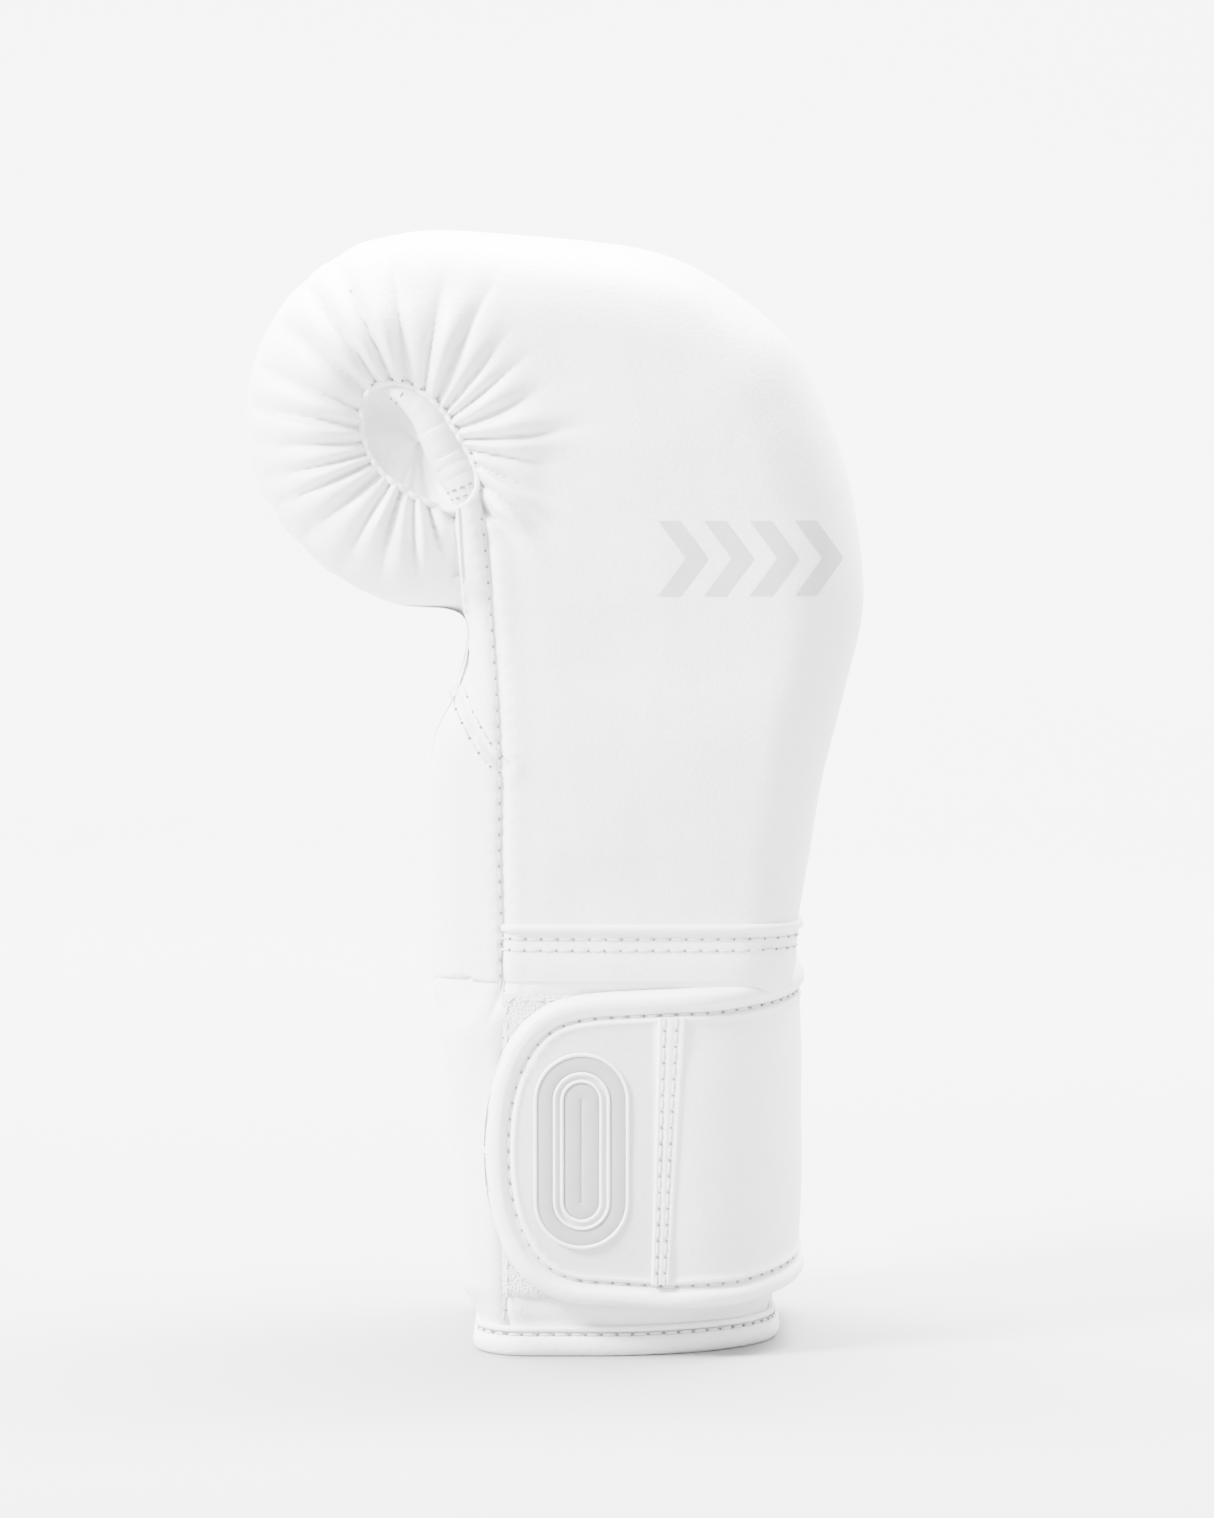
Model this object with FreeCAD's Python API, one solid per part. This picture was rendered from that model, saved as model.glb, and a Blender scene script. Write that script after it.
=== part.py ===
import FreeCAD, Part
import math
import os

# Left-hand boxing glove standing on its cuff, in millimetres.
# +Z is up towards the knuckles, +X is the back of the hand, -Y is the little-finger side.

# Hand part, side outline
glove_height = 290.0
welt_z = 100.0
knuckle_x = 79.0
knuckle_z = 194.0
wrist_back_x = 62.0
roll_radius = 48.0
roll_x = -32.5
palm_notch_x = -21.0
heel_x = -32.0
heel_z = 140.0
hand_half_width = 56.0
wrist_half_width = 49.0
side_rounding = 17.0

# Layers of the hand part, thickness at the back and at the sides
leather = 1.6
layer_gap = 0.3
dense_back = 9.0
dense_side = 4.0
eva_back = 7.0
eva_side = 4.0
liner = 1.4

# Hand compartment
cavity_half_width = 40.0
cavity_palm_x = -19.0
cavity_back_x = 39.0

# Grip bar and the gathered opening at the little-finger end of the roll
grip_radius = 7.0
opening_radius = 14.0
binding_width = 3.4
binding_proud = 1.5
cup_wall = 1.4
cup_floor = 2.4

# Thumb
thumb_x = 9.0
thumb_y = 64.0
thumb_top_z = 240.0
thumb_bottom_z = 112.0
thumb_radius_x = 24.0
thumb_radius_y = 20.0
thumb_tip_start = 0.70
thumb_base_end = 0.28
thumb_foam = 6.5
thumb_hand_gap = 0.6
mouth_width = 30.0
mouth_low_z = 130.0
mouth_high_z = 168.0
mouth_into_cavity = 6.0
mouth_into_thumb = 3.0
link_width = 18.0
link_thickness = 3.0
link_start_x = -24.0
link_end_x = -5.0
link_low_z = 198.0
link_root_depth = 4.0
link_clearance = 0.1

# Cuff
cuff_back_x = 57.5
cuff_top_palm_x = -31.0
cuff_bottom_palm_x = -23.0
cuff_half_width = 46.0
cuff_back_corner = 28.0
cuff_palm_corner = 13.0
cuff_foam_thickness = 6.5
lining = 1.2
binding_height = 6.0
binding_bulge = 1.0
welt_height = 2.6
welt_proud = 1.5
split_width = 14.0
split_y = 22.0
split_top_z = 84.0
cuff_seam_x = -13.5

# Strap
strap_bottom_z = 13.0
strap_top_z = 97.0
strap_end_x = -18.0
strap_end_corner = 30.0
strap_border = 6.5
strap_clearance = 1.6
strap_thickness = 4.8
strap_skin = 1.2
strap_hook = 1.0
strap_cut = 0.5
anchor_start_x = -12.0
back_hinge_x = 28.0
tip_hinge_y = -14.0
seam_band_x = 29.0
seam_band_width = 6.0
trim_thickness = 0.8
badge_radius = 12.0
badge_height = 50.0
badge_x = 7.0
loop_thickness = 1.2
loop_end_x = -13.0
loop_far_x = 44.0

strap_mid_z = (strap_bottom_z + strap_top_z) / 2
roll_z = glove_height - roll_radius
foam_start = leather + layer_gap
dense_end = foam_start + dense_back
dense_side_end = foam_start + dense_side
eva_start = dense_end + layer_gap
eva_side_start = dense_side_end + layer_gap
eva_end = eva_start + eva_back
eva_side_end = eva_side_start + eva_side
soft_start = eva_end + layer_gap
soft_side_start = eva_side_end + layer_gap


def vec(x, y, z):
    return FreeCAD.Vector(x, y, z)


def box(x0, x1, y0, y1, z0, z1):
    return Part.makeBox(x1 - x0, y1 - y0, z1 - z0, vec(x0, y0, z0))


def rod(radius, y0, y1, x, z):
    return Part.makeCylinder(radius, y1 - y0, vec(x, y0, z), vec(0, 1, 0))


def on_roll(degrees):
    # A point on the finger roll's rim, measured from +X towards +Z.
    a = math.radians(degrees)
    return (roll_x + roll_radius * math.cos(a), roll_z + roll_radius * math.sin(a))


def hand_points():
    # Side outline from the wrist's back, over the knuckles and the roll, to the heel of the palm.
    rise = glove_height - knuckle_z
    reach = knuckle_x - roll_x
    return [
        (wrist_back_x, welt_z - 10),
        (wrist_back_x + 0.5, welt_z + 8),
        (wrist_back_x + 6, welt_z + 45),
        (knuckle_x - 3, knuckle_z - 22),
        (knuckle_x, knuckle_z),
        (knuckle_x - 4, knuckle_z + 0.32 * rise),
        (knuckle_x - 15, knuckle_z + 0.62 * rise),
        (knuckle_x - 0.32 * reach, knuckle_z + 0.85 * rise),
        (knuckle_x - 0.58 * reach, knuckle_z + 0.95 * rise),
        (knuckle_x - 0.80 * reach, knuckle_z + 0.985 * rise),
        on_roll(95),
        on_roll(130),
        on_roll(165),
        on_roll(200),
        on_roll(235),
        on_roll(268),
        (palm_notch_x - 1.5, roll_z - roll_radius - 3),
        (palm_notch_x - 1.5, heel_z + 36),
        (heel_x + 2, heel_z + 20),
        (heel_x - 0.5, heel_z),
        (heel_x, welt_z + 8),
        (heel_x + 0.5, welt_z - 10),
    ]


def moved_in(points, inset):
    # Every point moved to the inside of a clockwise outline, square to its neighbours.
    out = []
    last = len(points) - 1
    for i, (x, z) in enumerate(points):
        x0, z0 = points[max(i - 1, 0)]
        x1, z1 = points[min(i + 1, last)]
        dx = x1 - x0
        dz = z1 - z0
        size = math.hypot(dx, dz)
        out.append((x - dz / size * inset, z + dx / size * inset))
    # The two ends stay at their height, so the outline keeps its full length.
    out[0] = (out[0][0], points[0][1])
    out[-1] = (out[-1][0], points[-1][1])
    return out


def outline_wire(points, y):
    curve = Part.BSplineCurve()
    curve.interpolate([vec(x, y, z) for x, z in points])
    first = vec(points[0][0], y, points[0][1])
    last = vec(points[-1][0], y, points[-1][1])
    return Part.Wire([curve.toShape(), Part.makeLine(last, first)])


def width_envelope(side):
    # End view of the hand part: narrow at the wrist, full at the knuckles, rounded at the top.
    full = hand_half_width - side
    low = wrist_half_width - side
    top = glove_height + 4
    right = [
        (low - 1, welt_z - 12),
        (low, welt_z),
        (full - 1, welt_z + 50),
        (full + 0.5, knuckle_z),
        (full - 1, roll_z + 8),
        (full - 6, top - 22),
        (full - 20, top),
    ]
    curve = Part.BSplineCurve()
    curve.interpolate([vec(-200, y, z) for y, z in right])
    mirror = Part.BSplineCurve()
    mirror.interpolate([vec(-200, -y, z) for y, z in reversed(right)])
    head = Part.makeLine(vec(-200, right[-1][0], top), vec(-200, -right[-1][0], top))
    foot = Part.makeLine(vec(-200, -right[0][0], welt_z - 12), vec(-200, right[0][0], welt_z - 12))
    wire = Part.Wire([curve.toShape(), head, mirror.toShape(), foot])
    return Part.Face(wire).extrude(vec(400, 0, 0))


def hand_solid(back, side):
    # The whole hand part, moved in by one amount at the outline and another at the two sides.
    half = hand_half_width + 2 - side
    steps = [(1.0, side_rounding), (0.93, 0.52 * side_rounding), (0.78, 0.16 * side_rounding), (0.5, 0.0)]
    places = [(-share * half, extra) for share, extra in steps]
    places.append((0.0, 0.0))
    places += [(share * half, extra) for share, extra in reversed(steps)]
    wires = [outline_wire(moved_in(hand_points(), back + extra), y) for y, extra in places]
    body = Part.makeLoft(wires, True, False)
    return body.common(width_envelope(side))


def cavity_points():
    # Side outline of the fist compartment, with the finger pocket hooked round the grip bar.
    top = glove_height - soft_start - 9
    left = roll_x - roll_radius + soft_start + 5
    fingertip = roll_z - 23
    return [
        (cavity_back_x - 1, welt_z - 10),
        (cavity_back_x, welt_z + 20),
        (cavity_back_x + 6, knuckle_z),
        (cavity_back_x, knuckle_z + 32),
        (cavity_back_x - 20, top - 8),
        (roll_x + 26, top),
        (roll_x - 4, top - 1),
        (left + 5, roll_z + 10),
        (left, roll_z - 4),
        (left + 5, fingertip + 3),
        (left + 14, fingertip),
        (roll_x - 1, fingertip + 7),
        (roll_x + 3, roll_z - 3),
        (roll_x + 14, roll_z + 2),
        (roll_x + 26, roll_z - 12),
        (roll_x + 28, roll_z - 40),
        (roll_x + 25, heel_z + 42),
        (cavity_palm_x + 2, heel_z + 22),
        (cavity_palm_x, heel_z),
        (cavity_palm_x, welt_z - 10),
    ]


def cavity_solid(grow):
    half = cavity_half_width + grow
    face = Part.Face(outline_wire(moved_in(cavity_points(), -grow), -half))
    return face.extrude(vec(0, 2 * half, 0))


def above_welt(shape):
    return shape.common(box(-200, 200, -200, 200, welt_z, 400))


def thumb_mouth():
    x0 = thumb_x - mouth_width / 2
    y0 = cavity_half_width - mouth_into_cavity
    return box(x0, x0 + mouth_width, y0, thumb_y - mouth_into_thumb, mouth_low_z, mouth_high_z)


def palm_zone(gap):
    # The part of the hand that lies under the palm panels, below the finger roll.
    return box(-200, palm_notch_x + 9 + gap, -200, 200, 0, roll_z - roll_radius - 4 + gap)


def opening_rod(radius, y0, y1):
    return rod(radius, y0, y1, roll_x - 2.5, roll_z - 8)


def grip_rod(radius):
    return rod(radius, -cavity_half_width, cavity_half_width, roll_x + 15, roll_z - 15)


def hand_leather(solids):
    skin = above_welt(solids["outer"].cut(solids["leather"])).cut(thumb_mouth())
    hole = opening_rod(opening_radius + binding_width + 0.2, -200, 0)
    seam_z = heel_z + 25
    edge = palm_notch_x + 6.5
    low = box(-200, edge, -200, 200, 0, seam_z - 0.1)
    high = box(-200, edge, -200, 200, seam_z + 0.1, roll_z - roll_radius - 1)
    whole = box(-200, edge + 0.2, -200, 200, 0, roll_z - roll_radius - 0.8)
    return {
        "back_shell": skin.cut(whole).cut(hole),
        "palm_upper_panel": skin.common(high),
        "palm_heel_panel": skin.common(low),
    }


def hand_foams(solids):
    zone = palm_zone(0.3)
    mouth = thumb_mouth()
    inside = cavity_solid(liner + layer_gap)
    ring = opening_rod(opening_radius + binding_width + 0.2, -200, 0)
    cup = opening_rod(opening_radius + cup_wall + 0.3, -200, -cavity_half_width - liner)
    dense = above_welt(solids["dense"].cut(solids["dense_in"])).cut(zone).cut(mouth).cut(ring).cut(inside)
    eva = above_welt(solids["eva"].cut(solids["eva_in"])).cut(zone).cut(mouth).cut(cup).cut(inside)
    soft = above_welt(solids["soft"]).cut(zone).cut(mouth).cut(cup).cut(inside)
    heel = above_welt(solids["dense"]).common(palm_zone(0)).cut(inside).cut(mouth)
    return {
        "dense_foam": dense,
        "eva_foam": eva,
        "soft_foam": soft.cut(grip_rod(grip_radius + 0.2)),
        "heel_foam": heel,
        "grip_bar": grip_rod(grip_radius),
    }


def hand_lining():
    shell = cavity_solid(liner).cut(cavity_solid(0)).cut(thumb_mouth())
    return above_welt(shell)


def opening_parts():
    face = -hand_half_width
    ring_end = face + leather + dense_side - 2 * layer_gap
    ring = opening_rod(opening_radius + binding_width, face - binding_proud, ring_end)
    ring = ring.cut(opening_rod(opening_radius, -200, 0))
    floor = -cavity_half_width - liner - 2 * layer_gap
    cup = opening_rod(opening_radius + cup_wall, ring_end + layer_gap, floor)
    cup = cup.cut(opening_rod(opening_radius, -200, floor - cup_floor))
    return {"opening_binding": ring, "recess_cup": cup}


def welt(solids):
    slab = box(-200, 200, -200, 200, welt_z - welt_height - 0.2, welt_z - 0.2)
    return solids["proud"].common(slab).cut(cavity_solid(0))


def thumb_section(share, inset):
    # One level ellipse of the thumb: share runs from 0 at the base to 1 at the tip.
    z = thumb_bottom_z + share * (thumb_top_z - thumb_bottom_z)
    tip = max(0.0, (share - thumb_tip_start) / (1 - thumb_tip_start))
    base = max(0.0, (thumb_base_end - share) / thumb_base_end)
    fullness = math.sqrt(1 - 0.97 * tip * tip) * math.sqrt(1 - 0.6 * base * base)
    rx = max(thumb_radius_x * fullness - inset, 1.2)
    ry = max(thumb_radius_y * fullness - inset, 1.0)
    x = thumb_x - 10 * share * share
    y = thumb_y - 9 * (1 - share) ** 2
    ring = Part.Ellipse(vec(x, y, z), rx, ry).toShape()
    return Part.Wire([ring])


def thumb_solid(inset):
    tall = thumb_top_z - thumb_bottom_z
    ends = inset / tall
    shares = [ends + (1 - 2 * ends) * k for k in (0.0, 0.12, 0.3, 0.5, 0.7, 0.83, 0.92, 0.975, 1.0)]
    return Part.makeLoft([thumb_section(s, inset) for s in shares], True, False)


def thumb_parts(solids):
    outside = solids["thumb_keepout"]
    mouth = thumb_mouth()
    outer = thumb_solid(0).cut(outside)
    skin = outer.cut(thumb_solid(leather)).cut(mouth)
    split = box(-200, thumb_x - 6, -200, 200, 0, 400)
    start = leather + layer_gap
    foam_end = start + thumb_foam
    inner = thumb_solid(foam_end + layer_gap + lining)
    foam = thumb_solid(start).cut(thumb_solid(foam_end)).cut(outside).cut(mouth)
    sleeve = thumb_solid(foam_end + layer_gap).cut(inner).cut(outside).cut(mouth)
    link_top_z = link_low_z + link_width
    root_y = hand_half_width - link_root_depth
    far_y = thumb_y - link_thickness
    tab = box(link_start_x, link_start_x + link_thickness, root_y, far_y, link_low_z, link_top_z)
    tab = tab.fuse(box(link_start_x, link_end_x, far_y - link_thickness, far_y, link_low_z, link_top_z))
    tab = tab.cut(outside).cut(thumb_solid(-link_clearance))
    return {
        "thumb_outer_shell": skin.cut(split),
        "thumb_palm_panel": skin.common(split),
        "thumb_foam_pad": foam,
        "thumb_liner": sleeve,
        "thumb_link": tab,
    }


def cuff_wire(palm_x, out, z):
    # Level outline of the cuff: larger corners at the back of the wrist than at the palm.
    x0 = palm_x - out
    x1 = cuff_back_x + out
    y1 = cuff_half_width + out
    big = cuff_back_corner + out
    small = cuff_palm_corner + out
    s = math.sqrt(0.5)
    edges = []

    def line(xa, ya, xb, yb):
        edges.append(Part.makeLine(vec(xa, ya, z), vec(xb, yb, z)))

    def arc(cx, cy, r, sx, sy, first, last):
        mid = vec(cx + sx * r * s, cy + sy * r * s, z)
        edges.append(Part.Arc(vec(first[0], first[1], z), mid, vec(last[0], last[1], z)).toShape())

    line(x0 + small, -y1, x1 - big, -y1)
    arc(x1 - big, -y1 + big, big, 1, -1, (x1 - big, -y1), (x1, -y1 + big))
    line(x1, -y1 + big, x1, y1 - big)
    arc(x1 - big, y1 - big, big, 1, 1, (x1, y1 - big), (x1 - big, y1))
    line(x1 - big, y1, x0 + small, y1)
    arc(x0 + small, y1 - small, small, -1, 1, (x0 + small, y1), (x0, y1 - small))
    line(x0, y1 - small, x0, -y1 + small)
    arc(x0 + small, -y1 + small, small, -1, -1, (x0, -y1 + small), (x0 + small, -y1))
    return Part.Wire(edges)


def cuff_solid(out):
    low = cuff_wire(cuff_bottom_palm_x, out, binding_height + 0.2)
    high = cuff_wire(cuff_top_palm_x, out, welt_z - welt_height - 0.4)
    return Part.makeLoft([low, high], True, True)


def cuff_split(gap):
    y0 = split_y - split_width / 2 - gap
    return box(-200, 0, y0, y0 + split_width + 2 * gap, 0, split_top_z + gap)


def cuff_parts():
    skin = cuff_solid(0).cut(cuff_solid(-leather)).cut(cuff_split(0))
    palm = box(-200, cuff_seam_x, -200, 200, 0, 400)
    start = leather + layer_gap
    foam_end = start + cuff_foam_thickness
    foam = cuff_solid(-start).cut(cuff_solid(-foam_end)).cut(cuff_split(0))
    inside = cuff_solid(-foam_end - layer_gap)
    hollow = cuff_solid(-foam_end - layer_gap - lining)
    gusset = cuff_solid(-start - 3).cut(cuff_solid(-start - 5)).common(cuff_split(-0.3))
    low = cuff_wire(cuff_bottom_palm_x, binding_bulge, 0)
    high = cuff_wire(cuff_bottom_palm_x, -foam_end - layer_gap - lining - 0.6, 0)
    ring = Part.Face(low).extrude(vec(0, 0, binding_height))
    ring = ring.cut(Part.Face(high).extrude(vec(0, 0, binding_height)))
    patch = cuff_solid(loop_thickness).cut(cuff_solid(0.05))
    patch = patch.common(box(loop_end_x, loop_far_x, -200, 0, strap_bottom_z + 1.5, strap_top_z - 2.5))
    return {
        "cuff_shell": skin.cut(palm),
        "cuff_palm_panel": skin.common(palm),
        "cuff_foam": foam,
        "cuff_lining": inside.cut(hollow),
        "cuff_binding": ring,
        "wrist_gusset": gusset,
        "loop_patch": patch,
    }


def strap_plate(start, end, z0, z1):
    # A band round the cuff between two distances from the cuff's face.
    outer = Part.Face(cuff_wire(cuff_top_palm_x, end, z0)).extrude(vec(0, 0, z1 - z0))
    inner = Part.Face(cuff_wire(cuff_top_palm_x, start, z0)).extrude(vec(0, 0, z1 - z0))
    return outer.cut(inner)


def strap_outline(inset):
    # Side view of the free end: a long tab with two large corners.
    x0 = strap_end_x + inset
    z0 = strap_bottom_z + inset
    z1 = strap_top_z - inset
    r = strap_end_corner - inset
    s = math.sqrt(0.5)
    low_mid = vec(x0 + r - r * s, -200, z0 + r - r * s)
    high_mid = vec(x0 + r - r * s, -200, z1 - r + r * s)
    edges = [
        Part.makeLine(vec(200, -200, z0), vec(x0 + r, -200, z0)),
        Part.Arc(vec(x0 + r, -200, z0), low_mid, vec(x0, -200, z0 + r)).toShape(),
        Part.makeLine(vec(x0, -200, z0 + r), vec(x0, -200, z1 - r)),
        Part.Arc(vec(x0, -200, z1 - r), high_mid, vec(x0 + r, -200, z1)).toShape(),
        Part.makeLine(vec(x0 + r, -200, z1), vec(200, -200, z1)),
        Part.makeLine(vec(200, -200, z1), vec(200, -200, z0)),
    ]
    return Part.Face(Part.Wire(edges)).extrude(vec(0, 400, 0))


def strap_layers(region):
    # Rolled border, outer skin and foam of one length of strap.
    far = strap_clearance + strap_thickness
    rim = strap_plate(strap_clearance, far, strap_bottom_z, strap_top_z)
    rim = rim.common(region).common(strap_outline(0)).cut(strap_outline(strap_border))
    field = strap_outline(strap_border + 0.2)
    skin = strap_plate(far - strap_skin - 0.2, far - 0.2, strap_bottom_z, strap_top_z)
    core_start = strap_clearance + strap_hook + 0.2
    core = strap_plate(core_start, far - strap_skin - 0.4, strap_bottom_z, strap_top_z)
    return rim, skin.common(region).common(field), core.common(region).common(field)


def strap_parts():
    half_cut = strap_cut / 2
    anchor = box(anchor_start_x, back_hinge_x - half_cut, 0, 200, 0, 200)
    back = box(back_hinge_x + half_cut, 200, tip_hinge_y + half_cut, 200, 0, 200)
    tip = box(-200, 200, -200, tip_hinge_y - half_cut, 0, 200)
    anchor_rim, anchor_skin, anchor_core = strap_layers(anchor)
    back_rim, back_skin, back_core = strap_layers(back)
    tip_rim, tip_skin, tip_core = strap_layers(tip)
    field = strap_outline(strap_border + 0.2)
    hook = strap_plate(strap_clearance, strap_clearance + strap_hook, strap_bottom_z, strap_top_z)
    hook = hook.common(tip).common(field).common(box(-200, loop_far_x, -200, 0, 0, 200))
    end_field = box(-200, seam_band_x, -200, 0, 0, 200)
    face = strap_clearance + strap_thickness - 0.1
    trim = strap_plate(face, face + trim_thickness, strap_bottom_z, strap_top_z).common(field)
    half_band = seam_band_width / 2
    band = trim.common(box(seam_band_x - half_band, seam_band_x + half_band, -200, 0, 0, 200))
    reach = badge_height / 2 - badge_radius
    low_end = rod(badge_radius, -200, 0, badge_x, strap_mid_z - reach)
    high_end = rod(badge_radius, -200, 0, badge_x, strap_mid_z + reach)
    left = badge_x - badge_radius
    waist = box(left, left + 2 * badge_radius, -200, 0, strap_mid_z - reach, strap_mid_z + reach)
    badge = trim.common(low_end.fuse([high_end, waist]))
    return {
        "strap_anchor_border": anchor_rim,
        "strap_anchor_panel": anchor_skin,
        "strap_anchor_foam": anchor_core,
        "strap_back_border": back_rim,
        "strap_back_panel": back_skin,
        "strap_back_foam": back_core,
        "strap_tip_border": tip_rim,
        "strap_tip_panel": tip_skin.cut(end_field),
        "strap_end_panel": tip_skin.common(end_field),
        "strap_tip_foam": tip_core,
        "strap_hook_patch": hook,
        "strap_seam_band": band,
        "strap_badge": badge,
    }


def build():
    solids = {
        "proud": hand_solid(-welt_proud, -welt_proud),
        "thumb_keepout": hand_solid(-thumb_hand_gap, -thumb_hand_gap),
        "outer": hand_solid(0, 0),
        "leather": hand_solid(leather, leather),
        "dense": hand_solid(foam_start, foam_start),
        "dense_in": hand_solid(dense_end, dense_side_end),
        "eva": hand_solid(eva_start, eva_side_start),
        "eva_in": hand_solid(eva_end, eva_side_end),
        "soft": hand_solid(soft_start, soft_side_start),
    }
    nodes = {}
    nodes.update(hand_leather(solids))
    nodes.update(hand_foams(solids))
    nodes["hand_liner"] = hand_lining()
    nodes.update(opening_parts())
    nodes["welt_band"] = welt(solids)
    nodes.update(thumb_parts(solids))
    nodes.update(cuff_parts())
    nodes.update(strap_parts())
    return nodes


def centre_shift(nodes):
    # How far the whole glove moves so that the middle of its base is at the origin.
    xs = []
    ys = []
    for shape in nodes.values():
        for point in shape.tessellate(0.3)[0]:
            xs.append(point.x)
            ys.append(point.y)
    return vec(-(min(xs) + max(xs)) / 2, -(min(ys) + max(ys)) / 2, 0)


os.makedirs("parts", exist_ok=True)
glove = build()
shift = centre_shift(glove)
print("shift", round(shift.x, 3), round(shift.y, 3))
for name, shape in glove.items():
    solid = shape.copy()
    solid.translate(shift)
    pieces = solid.Solids
    print(name, len(pieces), "solids, volume", round(solid.Volume), solid.isValid())
    solid.exportStep("parts/" + name + ".step")
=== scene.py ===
import math
import bmesh
import bpy
import numpy as np
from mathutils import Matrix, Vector
from mathutils.geometry import delaunay_2d_cdt


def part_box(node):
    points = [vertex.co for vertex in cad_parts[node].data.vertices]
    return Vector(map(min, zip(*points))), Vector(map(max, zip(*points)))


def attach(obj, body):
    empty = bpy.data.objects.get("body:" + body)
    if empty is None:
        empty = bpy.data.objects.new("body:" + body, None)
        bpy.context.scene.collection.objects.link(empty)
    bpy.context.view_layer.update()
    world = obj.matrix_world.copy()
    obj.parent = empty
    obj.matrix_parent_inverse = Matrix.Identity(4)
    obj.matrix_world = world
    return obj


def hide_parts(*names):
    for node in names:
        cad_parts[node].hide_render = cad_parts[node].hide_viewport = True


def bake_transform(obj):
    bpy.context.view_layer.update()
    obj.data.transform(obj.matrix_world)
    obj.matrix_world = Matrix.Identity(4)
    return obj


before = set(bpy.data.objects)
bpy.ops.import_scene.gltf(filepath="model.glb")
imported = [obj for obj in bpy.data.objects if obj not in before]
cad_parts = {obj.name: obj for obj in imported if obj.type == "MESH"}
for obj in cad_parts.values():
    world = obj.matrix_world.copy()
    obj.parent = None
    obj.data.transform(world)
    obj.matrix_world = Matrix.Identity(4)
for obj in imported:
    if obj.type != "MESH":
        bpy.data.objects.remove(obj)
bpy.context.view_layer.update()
print("stage: frame loaded")

# Shapes are worked out in millimetres from the cuff's middle, then set into the frame.
cuffLow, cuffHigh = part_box("cuff_shell")
cuffBackX = 57.5
shiftX = cuffHigh[0] - cuffBackX / 1000
shiftY = (cuffLow[1] + cuffHigh[1]) / 2
noise = np.random.default_rng(7)


def toRow(points):
    out = np.asarray(points, float) / 1000
    out[:, 0] += shiftX
    out[:, 1] += shiftY
    return out


def smooth(edge0, edge1, value):
    t = np.clip((value - edge0) / (edge1 - edge0), 0, 1)
    return t * t * (3 - 2 * t)


def wobble(x, z, scale, seed):
    # Gentle unevenness with no repeat that shows.
    s = seed * 1.7
    a = np.sin(x / scale + s) * np.cos(z / (scale * 0.83) - 2 * s)
    b = np.sin((x + z) / (scale * 0.61) + 3 * s) * np.cos((x - 0.6 * z) / (scale * 0.57) + s)
    return 0.6 * a + 0.4 * b


def bump(distance, width):
    return np.exp(-(distance / width) ** 2)


# Materials

def newMaterial(name):
    material = bpy.data.materials.new(name)
    material.use_nodes = True
    tree = material.node_tree
    tree.nodes.clear()
    output = tree.nodes.new("ShaderNodeOutputMaterial")
    shader = tree.nodes.new("ShaderNodeBsdfPrincipled")
    tree.links.new(shader.outputs["BSDF"], output.inputs["Surface"])
    coords = tree.nodes.new("ShaderNodeTexCoord")
    return material, tree, shader, coords.outputs["Object"]


def noiseNode(tree, coords, scale, detail=3.0, rough=0.55):
    node = tree.nodes.new("ShaderNodeTexNoise")
    node.inputs["Scale"].default_value = scale
    node.inputs["Detail"].default_value = detail
    node.inputs["Roughness"].default_value = rough
    tree.links.new(coords, node.inputs["Vector"])
    return node.outputs["Fac"]


def mathNode(tree, operation, a, b):
    node = tree.nodes.new("ShaderNodeMath")
    node.operation = operation
    for socket, value in zip(node.inputs, (a, b)):
        if isinstance(value, (int, float)):
            socket.default_value = value
        else:
            tree.links.new(value, socket)
    return node.outputs[0]


def rangeNode(tree, value, low, high):
    node = tree.nodes.new("ShaderNodeMapRange")
    tree.links.new(value, node.inputs["Value"])
    node.inputs["To Min"].default_value = low
    node.inputs["To Max"].default_value = high
    return node.outputs["Result"]


def mixColour(tree, factor, first, second):
    node = tree.nodes.new("ShaderNodeMix")
    node.data_type = "RGBA"
    tree.links.new(factor, node.inputs[0])
    for socket, value in ((node.inputs[6], first), (node.inputs[7], second)):
        if isinstance(value, tuple):
            socket.default_value = value + (1.0,)
        else:
            tree.links.new(value, socket)
    return node.outputs[2]


def bumpNode(tree, shader, height, strength, distance):
    node = tree.nodes.new("ShaderNodeBump")
    node.inputs["Strength"].default_value = strength
    node.inputs["Distance"].default_value = distance
    tree.links.new(height, node.inputs["Height"])
    tree.links.new(node.outputs["Normal"], shader.inputs["Normal"])


leatherLook = {
    "colour": (0.80, 0.80, 0.795),
    "tint": (0.74, 0.735, 0.725),  # where hands and dust have dulled it
    # painted shade in seam grooves and pleat valleys, with some dirt along the seams
    "grooveShadeAndDirtTint": (0.50, 0.48, 0.46),
    "panelTint": (0.56, 0.56, 0.56),  # smooth moulded panel at the strap's end
    "grainSize": 0.0011,
    "grainDepth": 0.00022,
    "roughLow": 0.40,
    "roughHigh": 0.56,
}


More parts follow.
